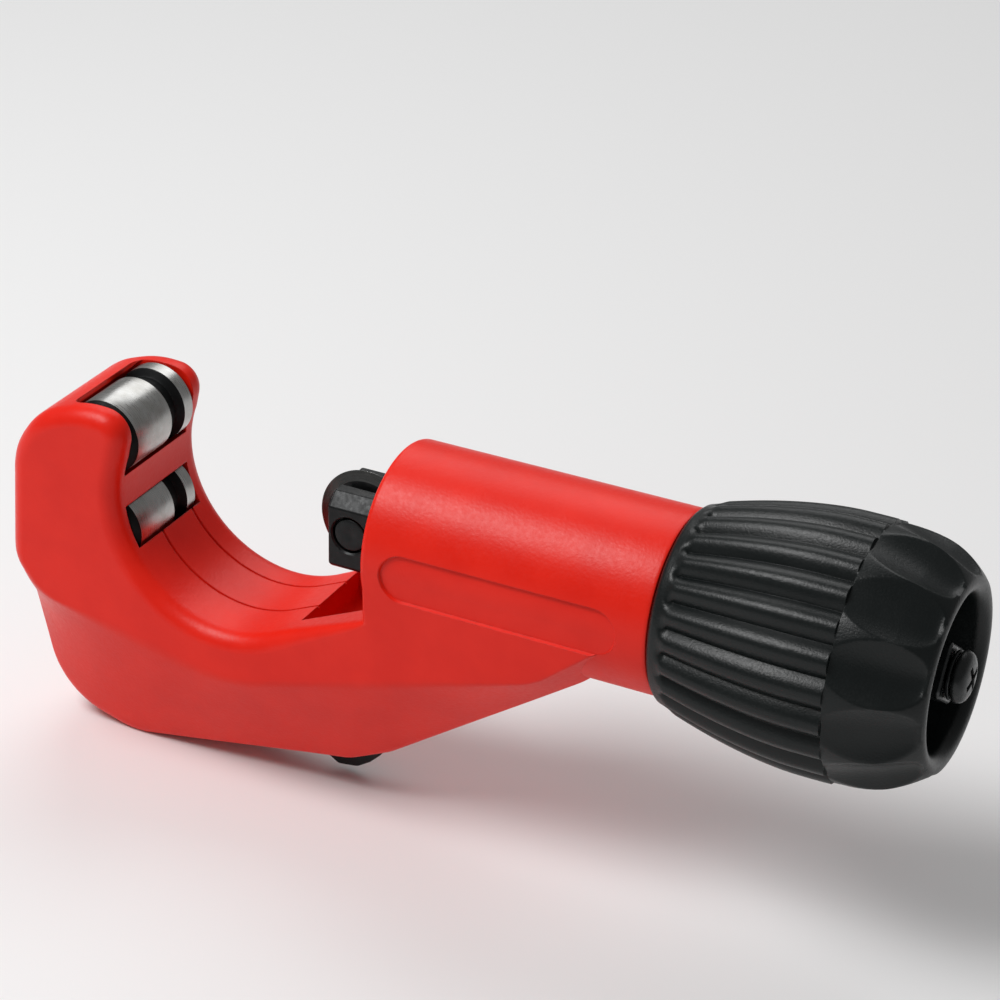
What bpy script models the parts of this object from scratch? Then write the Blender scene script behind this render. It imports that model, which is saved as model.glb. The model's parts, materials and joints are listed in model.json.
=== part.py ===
"""Tube cutter: a cast C-frame, two rollers, a sliding wheel carrier and a knob on a feed spindle.

Lengths are in millimetres until a mesh is made. X runs along the handle towards the knob, Y along
the tube that is being cut and Z up out of the open throat. X = Z = 0 is the tube's centre, and the
finished assembly is moved so that the middle of its underside is the origin.
"""
import math

import bmesh
import bpy
from mathutils import Matrix, Vector

MM = 0.001
GAP = 0.3                                   # air between neighbouring pieces

# Driving dimensions
TUBE_R = 14.0                               # tube held in the rest pose
LARGEST_TUBE_R = 17.5
ROLLER_R = 6.0
ROLLER_X = -18.5
ROLLER_Z = 7.7                              # rollers sit this far above and below the axis
BARREL_R = 13.9
BARREL_FRONT = 28.0
BARREL_BACK = 73.8
KNOB_R = 19.2
KNOB_BACK = 115.0
WHEEL_R = 8.05
SIDE_Y = 13.6                               # half width of the arm's flat near side
BARREL_SIDE_Y = BARREL_R - 0.05             # the sides run out almost tangent to the barrel
KEEL_Y = 6.5                                # half width of the frame's underside
ARM_FAR_Y = 11.0                            # far side of the arm, slimmer than the barrel
SWELL_X = 14.0                              # from here back the sides widen towards the barrel

# Frame
THROAT_X = math.sqrt((LARGEST_TUBE_R + ROLLER_R) ** 2 - ROLLER_Z ** 2) + ROLLER_X
THROAT_R = LARGEST_TUBE_R + 0.8
EDGE_R = 2.8                                # rounding along the casting's rims
FRONT_EDGE_R = 0.9                          # sharper edge at the barrel's front face
ROLLER_POCKET_R = ROLLER_R + 0.5
POCKET_BACK_ANGLE = 139                     # the upper pocket's back wall runs straight up from here
POCKET_NEAR_Y = -10.3
POCKET_FAR_Y = 7.1
BACK_CORNER = (-34.2, -12.0)                # where the flat sides' lower edge meets the arm's back
THROAT_START_ANGLE = 160                    # the arc begins here below the arm's tip
THROAT_END_ANGLE = 294                      # and from here runs on straight to the barrel
THROAT_START = (THROAT_X + THROAT_R * math.cos(math.radians(THROAT_START_ANGLE)),
                THROAT_R * math.sin(math.radians(THROAT_START_ANGLE)))
SLOT_FRONT = 15.5                           # slot for the wheel's slide, open at the throat
SLOT_FLOOR_Z = -20.0
SLOT_HALF_Y = 8.8
PANEL_X = (31.4, 69.0)
PANEL_Z = (-3.9, 3.5)
PANEL_DEPTH = 0.5

# Neck, bore and spindle stack inside the knob
NECK_R = 11.6
NECK_BACK = 97.0
SLIDE_HALF = 6.1
SLIDE_TOP_CHAMFER = 2.0
SLIDE_LOW_CHAMFER = 0.7
BORE_BACK = 88.5
SEAT_R = 9.0
WASHER_R = SEAT_R - GAP
JOURNAL_R = 5.7
JOURNAL_BORE_R = JOURNAL_R + GAP
SCREW_R = 3.9

# Slide, wheel and pins
WHEEL_X = TUBE_R + WHEEL_R
SLIDE_FRONT = WHEEL_X - 3.6
SLIDE_BACK = 76.0
WHEEL_SLOT_HALF = 2.3
WHEEL_SLOT_BACK = WHEEL_X + WHEEL_R + 0.6
WHEEL_PIN_R = 1.9
WHEEL_PIN_HEAD_R = 2.6
CLIP_R = 4.0
ROLLER_PIN_R = 2.5
RETRACT = 7.2                               # travel of the slide back into the barrel
RELIEF_HALF_Y = 1.5                         # slot above and below the bore that clears the wheel
RELIEF_HALF_Z = WHEEL_R + 0.4
RELIEF_BACK = WHEEL_X + RETRACT + WHEEL_R + 0.5

# Knob
KNOB_FRONT = BARREL_BACK + GAP
KNOB_CAVITY_R = NECK_R + 0.6
KNOB_CAVITY_BACK = 99.7
KNOB_WEB_BACK = 106.2
WEB_BORE_R = 7.4                            # round hole through the web behind the bush
KNOB_RECESS_R = 11.4
KNOB_LIP = 0.8                              # rounding of the rim round the open recess
RIBS = 24
DENTS = 12
COLLAR_LENGTH = 1.5                         # plain ring in front of the ribs
RIB_DEPTH = 0.9
RIB_END = 101.8
RIB_STEP = 0.4                              # drop from the ribs' ends to the surface behind them
DENT_START_DEPTH = 0.4
DENT_DEPTH = 1.5
DENT_DEEPEST_X = 109.5
DENT_END_X = 114.4

# Washers, bush and fastening along the spindle, from the front to the back
STACK = BORE_BACK + GAP
COLLAR = (STACK + 1.0 + GAP, STACK + 3.5 + GAP)
COLLAR_R = 7.8
OUTER_WASHER = (COLLAR[1] + GAP, COLLAR[1] + 1.0 + GAP)
WAVE = (OUTER_WASHER[1] + 0.6, OUTER_WASHER[1] + 1.0)
BUSH_SEAT = WAVE[1] + 0.7
GRUB_X = NECK_BACK - 2.4
GRUB_R = 1.5
INSERT_FRONT = 101.5
INSERT_HALF = 7.6
INSERT_CHAMFER = 2.2
INSERT_FLOOR = 1.3                          # steel between the square hole and the hub
SQUARE_HALF = 4.0
SQUARE_CHAMFER = 0.72
SQUARE_TURN = math.radians(55)              # how far the square is turned about the spindle
SQUARE_BACK = KNOB_WEB_BACK - INSERT_FLOOR - GAP
HUB_BACK = 113.8                            # end of the drive plate's hub, under the knob screw
WASHER_BACK = HUB_BACK + GAP + 0.5
SHANK_R = 1.9

# Deburring blade folded into the underside
BLADE_PIVOT = (-16.0, -40.6)
BLADE_ANGLE = math.radians(9.6)
BLADE_LENGTH = 40.0
BLADE_END_R = 3.4                           # rounding about the pivot, and half the blade's height
BLADE_HALF_Y = 1.5
BLADE_PIN_R = 1.6

COLOURS = {
    "red_paint": ((0.72, 0.035, 0.02, 1.0), 0.0, 0.38),
    "steel": ((0.42, 0.42, 0.41, 1.0), 1.0, 0.30),
    "black_steel": ((0.02, 0.022, 0.024, 1.0), 0.7, 0.38),
    "black_plastic": ((0.025, 0.028, 0.028, 1.0), 0.0, 0.45),
    "brass": ((0.60, 0.42, 0.16, 1.0), 1.0, 0.35),
}


# Shared helpers

def clear_scene():
    for thing in list(bpy.data.objects):
        bpy.data.objects.remove(thing, do_unlink=True)


def make_object(name, verts, faces, look="steel"):
    """A mesh object from points in millimetres."""
    mesh = bpy.data.meshes.new(name)
    mesh.from_pydata([Vector(v) * MM for v in verts], [], faces)
    mesh.update()
    obj = bpy.data.objects.new(name, mesh)
    bpy.context.scene.collection.objects.link(obj)
    material = bpy.data.materials.new(name + "_" + look)
    material.use_nodes = True
    shader = material.node_tree.nodes["Principled BSDF"]
    colour, metallic, roughness = COLOURS[look]
    shader.inputs["Base Color"].default_value = colour
    shader.inputs["Metallic"].default_value = metallic
    shader.inputs["Roughness"].default_value = roughness
    mesh.materials.append(material)
    return obj


def bridge(rings, capped=True):
    """Faces joining equal rings of points in order; capped ends close a solid, else it is a ring."""
    count = len(rings[0])
    last = len(rings) - 1 if capped else len(rings)
    faces = []
    for i in range(last):
        a, b = i * count, (i + 1) % len(rings) * count
        for j in range(count):
            k = (j + 1) % count
            faces.append((a + j, a + k, b + k, b + j))
    if capped:
        faces.append(tuple(reversed(range(count))))
        faces.append(tuple(last * count + j for j in range(count)))
    return [point for ring in rings for point in ring], faces


def lathe(name, profile, look="steel", axis="X", centre=(0.0, 0.0, 0.0), segments=32, bored=False):
    """Turn (along, radius) pairs about an axis; a bored profile is a closed loop around a hole."""
    rings = []
    for along, radius in profile:
        ring = []
        for k in range(segments):
            angle = 2 * math.pi * k / segments
            u, v = radius * math.cos(angle), radius * math.sin(angle)
            local = (along, u, v) if axis == "X" else (v, along, u)
            ring.append(tuple(c + p for c, p in zip(centre, local)))
        rings.append(ring)
    verts, faces = bridge(rings, capped=not bored)
    return outward(make_object(name, verts, faces, look))


def outward(obj):
    """Turn a solid's faces so that its volume is positive."""
    shape = bmesh.new()
    shape.from_mesh(obj.data)
    bmesh.ops.recalc_face_normals(shape, faces=shape.faces)
    if shape.calc_volume(signed=True) < 0:
        bmesh.ops.reverse_faces(shape, faces=shape.faces)
    shape.to_mesh(obj.data)
    shape.free()
    return obj


def tube_profile(start, end, inner, outer, chamfer=0.0):
    """Closed loop of (along, radius) for a ring with chamfered outer corners."""
    return [(start, inner), (start, outer - chamfer), (start + chamfer, outer),
            (end - chamfer, outer), (end, outer - chamfer), (end, inner)]


def rod_profile(start, end, radius, chamfer=0.2):
    return [(start, radius - chamfer), (start + chamfer, radius),
            (end - chamfer, radius), (end, radius - chamfer)]


def prism(name, outline, low, high, look="steel"):
    """Extrude an outline of (x, z) pairs along Y."""
    rings = [[(x, y, z) for x, z in outline] for y in (low, high)]
    verts, faces = bridge(rings)
    return outward(make_object(name, verts, faces, look))


def bar(name, outline, start, end, look="steel"):
    """Extrude an outline of (y, z) pairs along X."""
    rings = [[(x, y, z) for y, z in outline] for x in (start, end)]
    verts, faces = bridge(rings)
    return outward(make_object(name, verts, faces, look))


def box_outline(low, high):
    return [(low[0], low[1]), (high[0], low[1]), (high[0], high[1]), (low[0], high[1])]


def chamfered_square(half, top, low):
    """Square with cut corners, which may differ between the top and the bottom."""
    high, deep = half - top, half - low
    return [(-deep, -half), (deep, -half), (half, -deep), (half, high),
            (high, half), (-high, half), (-half, high), (-half, -deep)]


def turned_square(half, chamfer):
    """Square with cut corners, turned to the angle of the spindle's drive."""
    turn = Matrix.Rotation(SQUARE_TURN, 2)
    return [tuple(turn @ Vector(p)) for p in chamfered_square(half, chamfer, chamfer)]


def arc(centre, radius, start, end, steps):
    """Points on an arc, angles in degrees from +X towards +Z."""
    points = []
    for k in range(steps + 1):
        angle = math.radians(start + (end - start) * k / steps)
        points.append((centre[0] + radius * math.cos(angle), centre[1] + radius * math.sin(angle)))
    return points


def resample(points, count):
    """Spread a number of points evenly along a polyline."""
    lengths = [0.0]
    for a, b in zip(points, points[1:]):
        lengths.append(lengths[-1] + math.dist(a, b))
    result = []
    for k in range(count):
        target = lengths[-1] * k / (count - 1)
        i = max(0, min(len(points) - 2, sum(1 for length in lengths if length <= target) - 1))
        span = lengths[i + 1] - lengths[i]
        t = (target - lengths[i]) / span
        result.append(tuple(p + (q - p) * t for p, q in zip(points[i], points[i + 1])))
    return result


def smooth_corners(points, radii, steps=5):
    """Replace each inner corner of a polyline with an arc of its radius."""
    result = [points[0]]
    for previous, corner, following, radius in zip(points, points[1:], points[2:], radii):
        p, c, f = Vector(previous), Vector(corner), Vector(following)
        a, b = (p - c).normalized(), (f - c).normalized()
        half = a.angle(b) / 2
        reach = radius / math.tan(half)
        middle = c + (a + b).normalized() * radius / math.sin(half)
        start, end = c + a * reach - middle, c + b * reach - middle
        sweep = start.angle_signed(end)
        for k in range(steps + 1):
            turn = Matrix.Rotation(-sweep * k / steps, 2)
            result.append(tuple(middle + turn @ start))
    result.append(points[-1])
    return result


def combine(body, other, operation):
    """Join or cut two closed solids exactly and drop the second one."""
    step = body.modifiers.new(operation, "BOOLEAN")
    step.operation = operation
    step.solver = "EXACT"
    step.object = other
    bpy.context.view_layer.update()
    graph = bpy.context.evaluated_depsgraph_get()
    mesh = bpy.data.meshes.new_from_object(body.evaluated_get(graph))
    body.modifiers.clear()
    body.data = mesh
    bpy.data.objects.remove(other, do_unlink=True)
    return body


def cut(body, *tools):
    for tool in tools:
        combine(body, tool, "DIFFERENCE")
    return body


def join(body, *others):
    for other in others:
        combine(body, other, "UNION")
    return body


def drill(name, x, z, low, high, radius, segments=32):
    """Round cutter along Y."""
    return lathe(name, [(low, radius), (high, radius)], axis="Y", centre=(x, 0, z), segments=segments)


# Frame

def rim_curve():
    """Upper edge of the casting: shoulder, arm tip, throat and the rise to the barrel.

    Each point is (x, z, edge rounding). The last two points lie inside the barrel.
    """
    corners = [BACK_CORNER, (-33.3, 4.2), (-28.6, 10.9), (-20.5, 13.8), (-12.0, 13.2), THROAT_START]
    shoulder = smooth_corners(corners, (12.0, 12.0, 16.0, 4.0), steps=4)[:-1]
    throat = arc((THROAT_X, 0.0), THROAT_R, THROAT_START_ANGLE, THROAT_END_ANGLE, 20)
    hidden_x = BARREL_FRONT + 0.4
    rise = (hidden_x - throat[-1][0]) * math.tan(math.radians(THROAT_END_ANGLE - 270))
    near_barrel = [(hidden_x, throat[-1][1] + rise), (hidden_x, 0.5), (66.0, 0.5)]
    return ([(x, z, EDGE_R) for x, z in shoulder + throat]
            + [(x, z, FRONT_EDGE_R) for x, z in near_barrel])


def ledge_curve():
    """Lower edge of the flat sides, from the barrel round under the throat to the arm's back."""
    band = arc((THROAT_X, 0.0), 25.9, -73, -100, 6)
    right = smooth_corners([band[0], (56.5, -11.4), (66.0, -3.6)], (14.0,), steps=4)
    back = smooth_corners([band[-1], (-29.6, -20.2), (-34.1, -14.9), BACK_CORNER], (9.0, 5.0), steps=3)
    return list(reversed(right)) + band[1:] + back[1:]


def keel_curve():
    """Underside of the casting, from the barrel down the web and up the back of the arm."""
    points = [(66.0, -8.9), (61.5, -13.2), (29.5, -35.3), (22.3, -38.7), (-17.0, -45.7),
              (-30.6, -41.8), (-35.0, -22.0), BACK_CORNER]
    return smooth_corners(points, (16.0, 12.0, 8.0, 12.0, 13.0, 10.0), steps=4)


def inset(points, amounts):
    """Move a polyline towards its right-hand side by an amount at each point."""
    result = []
    for i, (point, amount) in enumerate(zip(points, amounts)):
        before, after = points[max(i - 1, 0)], points[min(i + 1, len(points) - 1)]
        along = Vector((after[0] - before[0], after[1] - before[1])).normalized()
        result.append((point[0] + along.y * amount, point[1] - along.x * amount))
    return result


def casting_outline(depth, half_width):
    """Side view of the casting at a depth below its flat side; shallow slices pull in."""
    rim = rim_curve()
    amounts = []
    for _, _, radius in rim:
        reach = max(radius - depth, 0.0)
        amounts.append(radius - math.sqrt(radius * radius - reach * reach))
    upper = inset([(x, z) for x, z, _ in rim], amounts)
    share = min(depth / (half_width - KEEL_Y), 1.0)
    ledge, keel = resample(ledge_curve(), 30), resample(keel_curve(), 30)
    lower = [tuple(a + (b - a) * share for a, b in zip(p, q)) for p, q in zip(ledge, keel)]
    shift = upper[0][0] - lower[-1][0]
    lower = [(x + shift * (k / (len(lower) - 1)) ** 6, z) for k, (x, z) in enumerate(lower)]
    return upper + lower[:-1]


def side_reach(x, far):
    """Distance of the casting's side from the middle plane: slim at the arm, wide at the barrel."""
    arm, widest_x = (ARM_FAR_Y, 40.0) if far else (SIDE_Y, BARREL_FRONT)
    t = min(max((x - SWELL_X) / (widest_x - SWELL_X), 0.0), 1.0)
    return arm + (BARREL_SIDE_Y - arm) * t * t * (3 - 2 * t)


def casting():
    """Arm, throat and web as slices of the side view stacked along Y."""
    depths = (0.0, 0.25, 0.8, 1.6, EDGE_R, SIDE_Y - KEEL_Y)
    slices = [(depth, -1) for depth in depths] + [(depth, 1) for depth in reversed(depths)]
    rings = []
    for depth, side in slices:
        outline = casting_outline(depth, SIDE_Y)
        rings.append([(x, side * (side_reach(x, side > 0) - depth), z) for x, z in outline])
    verts, faces = bridge(rings)
    return outward(make_object("frame_body", verts, faces, "red_paint"))


def blade_point(along, up):
    """A point beside the folded blade, measured from its pivot."""
    c, s = math.cos(BLADE_ANGLE), math.sin(BLADE_ANGLE)
    return (BLADE_PIVOT[0] + along * c - up * s, BLADE_PIVOT[1] + along * s + up * c)


def panel_ring():
    """Cutter for the blank panels on both sides: everything outside the panels' shallow floors."""
    middle = sum(PANEL_Z) / 2
    radius = (PANEL_Z[1] - PANEL_Z[0]) / 2
    outline = (arc((PANEL_X[1] - radius, middle), radius, -90, 90, 8)
               + arc((PANEL_X[0] + radius, middle), radius, 90, 270, 8))
    floor_r, floor_y = BARREL_R - PANEL_DEPTH, BARREL_SIDE_Y - PANEL_DEPTH
    start, end = PANEL_X[0] - 2, PANEL_X[1] + 2
    round_floor = lathe("round_floor", [(start, floor_r), (end, floor_r)], segments=56)
    flat_floor = prism("flat_floor", box_outline((start, PANEL_Z[0] - 2), (end, 0.0)), -floor_y, floor_y)
    ring = prism("panels", outline, -BARREL_R - 2, BARREL_R + 2)
    return cut(ring, join(round_floor, flat_floor))


def frame_body():
    body = casting()
    barrel = lathe("barrel", [(BARREL_FRONT, BARREL_R - 1.0), (BARREL_FRONT + 0.3, BARREL_R - 0.3),
                              (BARREL_FRONT + 1.0, BARREL_R), (BARREL_BACK - 0.6, BARREL_R),
                              (BARREL_BACK, BARREL_R - 0.6), (BARREL_BACK, NECK_R),
                              (NECK_BACK, NECK_R)], segments=56)
    join(body, barrel)
    slot = [(SLOT_FRONT, -4.0), (SLOT_FRONT, SLOT_FLOOR_Z + 2), (SLOT_FRONT + 2, SLOT_FLOOR_Z),
            (BARREL_FRONT + 1, SLOT_FLOOR_Z), (BARREL_FRONT + 1, -4.0)]
    bore = chamfered_square(SLIDE_HALF + GAP, SLIDE_TOP_CHAMFER, SLIDE_LOW_CHAMFER)
    cut(body,
        bar("bore", bore, 10.0, BORE_BACK),
        lathe("seat", [(BORE_BACK - 0.1, SEAT_R), (NECK_BACK + 1, SEAT_R)]),
        prism("slot", slot, -SLOT_HALF_Y, SLOT_HALF_Y),
        prism("wheel_relief", box_outline((BARREL_FRONT - 2, -RELIEF_HALF_Z), (RELIEF_BACK, RELIEF_HALF_Z)),
              -RELIEF_HALF_Y, RELIEF_HALF_Y))
    upper, lower = (ROLLER_X, ROLLER_Z), (ROLLER_X, -ROLLER_Z)
    open_top = arc(upper, ROLLER_POCKET_R, POCKET_BACK_ANGLE, 360, 28)
    open_top += [(-8.0, ROLLER_Z), (-8.0, 22.0), (open_top[0][0], 22.0)]
    cut(body,
        prism("upper_pocket", open_top, POCKET_NEAR_Y, POCKET_FAR_Y),
        prism("lower_pocket", arc(lower, ROLLER_POCKET_R, 3, 351, 32), POCKET_NEAR_Y, POCKET_FAR_Y),
        drill("upper_pin_hole", *upper, -12.0, SIDE_Y + 2, ROLLER_PIN_R + GAP),
        drill("lower_pin_hole", *lower, -12.0, SIDE_Y + 2, ROLLER_PIN_R + GAP))
    blade_slot = [blade_point(-13.0, -12.0), blade_point(45.0, -12.0), blade_point(45.0, 6.0),
                  blade_point(-6.0, 6.0), blade_point(-13.0, 1.0)]
    cut(body,
        prism("blade_slot", blade_slot, -BLADE_HALF_Y - GAP, BLADE_HALF_Y + GAP),
        drill("blade_pin_hole", *BLADE_PIVOT, -5.0, SIDE_Y, BLADE_PIN_R + GAP, 24))
    grub = lathe("grub_hole", [(-NECK_R - 1, GRUB_R + GAP), (-SEAT_R + 2, GRUB_R + GAP)], axis="Y",
                 centre=(GRUB_X, 0, 0), segments=20)
    return cut(body, grub, panel_ring())


# Rollers and their pins

def roller(name, z):
    near, far = POCKET_NEAR_Y + GAP, POCKET_FAR_Y - GAP
    bore = ROLLER_PIN_R + GAP
    groove_near, groove_far, groove_r = 0.4, 3.9, ROLLER_R - 1.2
    profile = [(near, bore), (near, ROLLER_R - 0.7), (near + 0.7, ROLLER_R),
               (groove_near, ROLLER_R), (groove_near + 0.6, groove_r), (groove_far - 0.6, groove_r),
               (groove_far, ROLLER_R), (far - 0.5, ROLLER_R), (far, ROLLER_R - 0.5), (far, bore)]
    return lathe(name, profile, "steel", "Y", (ROLLER_X, 0, z), 40, bored=True)


def roller_pin(name, z):
    return lathe(name, rod_profile(-11.7, ARM_FAR_Y - 0.6, ROLLER_PIN_R, 0.4), "steel", "Y",
                 (ROLLER_X, 0, z), 32)


# Slide, wheel and the wheel's fastening

def slide_block():
    body = bar("slide_block", chamfered_square(SLIDE_HALF, SLIDE_TOP_CHAMFER, SLIDE_LOW_CHAMFER),
               SLIDE_FRONT, SLIDE_BACK, "black_steel")
    return cut(
        body,
        prism("wheel_slot", box_outline((SLIDE_FRONT - 5, -9), (WHEEL_SLOT_BACK, 9)),
              -WHEEL_SLOT_HALF, WHEEL_SLOT_HALF),
        lathe("thread", [(WHEEL_SLOT_BACK - 1, SCREW_R + GAP), (SLIDE_BACK + 1, SCREW_R + GAP)]),
        drill("pin_hole", WHEEL_X, 0, -9, 9, WHEEL_PIN_R + GAP, 24),
        drill("head_seat", WHEEL_X, 0, -9, -SLIDE_HALF + 1.6, WHEEL_PIN_HEAD_R + GAP),
        drill("clip_seat", WHEEL_X, 0, SLIDE_HALF - 1.5, 9, CLIP_R + GAP))


def cutting_wheel():
    hub = WHEEL_SLOT_HALF - GAP
    bore = WHEEL_PIN_R + GAP
    half = [(hub, bore), (hub, 3.6), (1.1, 4.4), (0.9, WHEEL_R - 1.5), (0.05, WHEEL_R)]
    profile = [(-y, r) for y, r in half] + [(y, r) for y, r in reversed(half)]
    return lathe("cutting_wheel", profile, "black_steel", "Y", (WHEEL_X, 0, 0), 48, bored=True)


def wheel_pin():
    head = -SLIDE_HALF + 0.2
    profile = [(head, WHEEL_PIN_HEAD_R - 0.3), (head + 0.3, WHEEL_PIN_HEAD_R),
               (head + 1.1, WHEEL_PIN_HEAD_R), (head + 1.1, WHEEL_PIN_R),
               (SLIDE_HALF - 0.4, WHEEL_PIN_R), (SLIDE_HALF - 0.1, WHEEL_PIN_R - 0.3)]
    return lathe("wheel_pin", profile, "black_steel", "Y", (WHEEL_X, 0, 0), 32)


def open_ring(name, x, z, low, high, inner, outer, mouth, look="steel"):
    """Retaining clip along Y with its mouth towards +Z."""
    outline = (arc((x, z), outer, 90 + mouth, 450 - mouth, 24)
               + arc((x, z), inner, 450 - mouth, 90 + mouth, 18))
    return prism(name, outline, low, high, look)


def wheel_pin_clip():
    return open_ring("wheel_pin_clip", WHEEL_X, 0, SLIDE_HALF - 1.2, SLIDE_HALF - 0.4,
                     WHEEL_PIN_R + GAP, CLIP_R, 28)


# Feed spindle and the pieces that hold it in the neck

def feed_spindle():
    turned = lathe("feed_spindle", [(38.6, SCREW_R - 0.8), (39.4, SCREW_R), (COLLAR[0], SCREW_R),
                                    (COLLAR[0], COLLAR_R), (COLLAR[1], COLLAR_R), (COLLAR[1], JOURNAL_R),
                                    (100.6, JOURNAL_R)])
    join(turned, bar("square", turned_square(SQUARE_HALF, SQUARE_CHAMFER), 100.0, SQUARE_BACK))
    tapped = lathe("tapped", [(96.0, SHANK_R + GAP), (SQUARE_BACK + 1, SHANK_R + GAP)], segments=24)
    return cut(turned, tapped)


def flat_washer(name, start, end, inner, outer):
    return lathe(name, tube_profile(start, end, inner, outer, 0.15), bored=True)


def wave_washer():
    """Springy ring with three shallow waves."""
    inner, outer, segments = JOURNAL_BORE_R + 0.4, WASHER_R - 0.2, 36
    rings = []
    for k in range(segments):
        angle = 2 * math.pi * k / segments
        lift = 0.28 * math.sin(3 * angle)
        ring = []
        for along, radius in ((WAVE[0], inner), (WAVE[0], outer), (WAVE[1], outer), (WAVE[1], inner)):
            ring.append((along + lift, radius * math.cos(angle), radius * math.sin(angle)))
        rings.append(ring)
    verts, faces = bridge(rings, capped=False)
    return outward(make_object("spindle_wave_washer", verts, faces))


def spindle_bush():
    flange = NECK_BACK + GAP
    profile = [(BUSH_SEAT, JOURNAL_BORE_R), (BUSH_SEAT, WASHER_R), (flange, WASHER_R),
               (flange, NECK_R - 0.2), (KNOB_CAVITY_BACK - 0.6, NECK_R - 0.2),
               (KNOB_CAVITY_BACK - GAP, NECK_R - 0.5), (KNOB_CAVITY_BACK - GAP, JOURNAL_BORE_R)]
    return lathe("spindle_bush", profile, "brass", bored=True)


def bush_grub_screw():
    return lathe("bush_grub_screw", rod_profile(-NECK_R + 0.1, -SEAT_R - 0.05, GRUB_R), "black_steel",
                 "Y", (GRUB_X, 0, 0), 20)


# Knob and its fastening

def knob_radius(x):
    """Barrel-shaped outer profile: a smooth swell that turns in sharply at the back."""
    swell_x = 97.0
    if x < swell_x:
        t = (swell_x - x) / (swell_x - KNOB_FRONT)
        return KNOB_R - 4.3 * t ** 1.7
    t = (x - swell_x) / (KNOB_BACK - swell_x)
    return KNOB_R - 6.1 * t ** 3.4


def rib_depth(x, angle):
    """Round ribs with narrow valleys between them; they start behind a plain collar."""
    rise = min(max((x - KNOB_FRONT - COLLAR_LENGTH) / 3.0, 0.0), 1.0)
    return RIB_DEPTH * rise * (1 - abs(math.sin(RIBS * angle / 2)))


def dent_depth(x, angle):
    """Scooped thumb dents behind the ribs, half as wide where they start and round at the back."""
    along = (x - RIB_END) / (DENT_DEEPEST_X - RIB_END)
    if x < DENT_DEEPEST_X:
        depth = DENT_START_DEPTH + (DENT_DEPTH - DENT_START_DEPTH) * math.sin(math.pi / 2 * along)
    else:
        back = min((x - DENT_DEEPEST_X) / (DENT_END_X - DENT_DEEPEST_X), 1.0)
        depth = DENT_DEPTH * math.sqrt(1 - back * back)
    pitch = 2 * math.pi / DENTS
    across = ((angle - pitch / 4) / pitch + 0.5) % 1.0 - 0.5
    return max(depth - DENT_DEPTH * (2 * across) ** 2, 0.0)


def grip_radius(x, angle):
    """Outside of the grip: ribs, then a small step down to the dented end."""
    if x < RIB_END:
        return knob_radius(x) - rib_depth(x, angle)
    step = RIB_STEP * min(max((DENT_DEEPEST_X - x) / (DENT_DEEPEST_X - RIB_END), 0.0), 1.0)
    return knob_radius(x) - step - dent_depth(x, angle)


def knob():
    """Hollow grip: ribbed shell, web with a square pocket, and an open recess behind it."""
    segments = RIBS * 4
    outer_x = [KNOB_FRONT, KNOB_FRONT + 0.5, KNOB_FRONT + COLLAR_LENGTH, 77.6, 84, 91, 98, RIB_END - 0.2,
               RIB_END + 0.2, 104.5, 107, DENT_DEEPEST_X, 112, 113.4, DENT_END_X, KNOB_BACK]
    rings = []
    for i, x in enumerate(outer_x):
        ring = []
        for k in range(segments):
            angle = 2 * math.pi * k / segments
            radius = grip_radius(x, angle)
            if i == 0:
                radius -= 0.4
            ring.append((x, radius * math.cos(angle), radius * math.sin(angle)))
        rings.append(ring)
    inner = [(KNOB_BACK, KNOB_RECESS_R + KNOB_LIP), (KNOB_BACK - KNOB_LIP, KNOB_RECESS_R),
             (KNOB_WEB_BACK, KNOB_RECESS_R - 0.2), (KNOB_WEB_BACK, WEB_BORE_R),
             (KNOB_CAVITY_BACK, WEB_BORE_R), (KNOB_CAVITY_BACK, KNOB_CAVITY_R),
             (KNOB_FRONT, KNOB_CAVITY_R)]
    for x, radius in inner:
        rings.append([(x, radius * math.cos(2 * math.pi * k / segments),
                       radius * math.sin(2 * math.pi * k / segments)) for k in range(segments)])
    verts, faces = bridge(rings, capped=False)
    grip = outward(make_object("knob", verts, faces, "black_plastic"))
    pocket = bar("pocket", turned_square(INSERT_HALF + GAP, INSERT_CHAMFER), INSERT_FRONT - GAP,
                 KNOB_WEB_BACK + 1)
    return cut(grip, pocket)


def knob_insert():
    """Square drive plate in the knob's web with a hub behind it that the knob screw clamps."""
    plate = bar("knob_insert", turned_square(INSERT_HALF, INSERT_CHAMFER), INSERT_FRONT, KNOB_WEB_BACK,
                "black_steel")
    join(plate, bar("hub", turned_square(SQUARE_HALF, SQUARE_CHAMFER), KNOB_WEB_BACK - 1, HUB_BACK))
    return cut(plate,
               bar("square_hole", turned_square(SQUARE_HALF + GAP, SQUARE_CHAMFER), 100,
                   KNOB_WEB_BACK - INSERT_FLOOR),
               lathe("shank_hole", [(100, SHANK_R + GAP), (HUB_BACK + 1, SHANK_R + GAP)], segments=24))


def knob_screw():
    under = WASHER_BACK + GAP
    top = under + 2.0
    profile = [(98.0, SHANK_R - 0.3), (98.4, SHANK_R), (under, SHANK_R), (under, 3.8), (under + 0.6, 3.85),
               (top - 0.8, 3.2), (top - 0.2, 2.0), (top, 0.8)]
    screw = lathe("knob_screw", profile, "black_steel")
    for low, high in (((-0.45, -2.2), (0.45, 2.2)), ((-2.2, -0.45), (2.2, 0.45))):
        cut(screw, bar("cross_slot", box_outline(low, high), top - 1.3, top + 1))
    return screw


# Deburring blade

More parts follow.
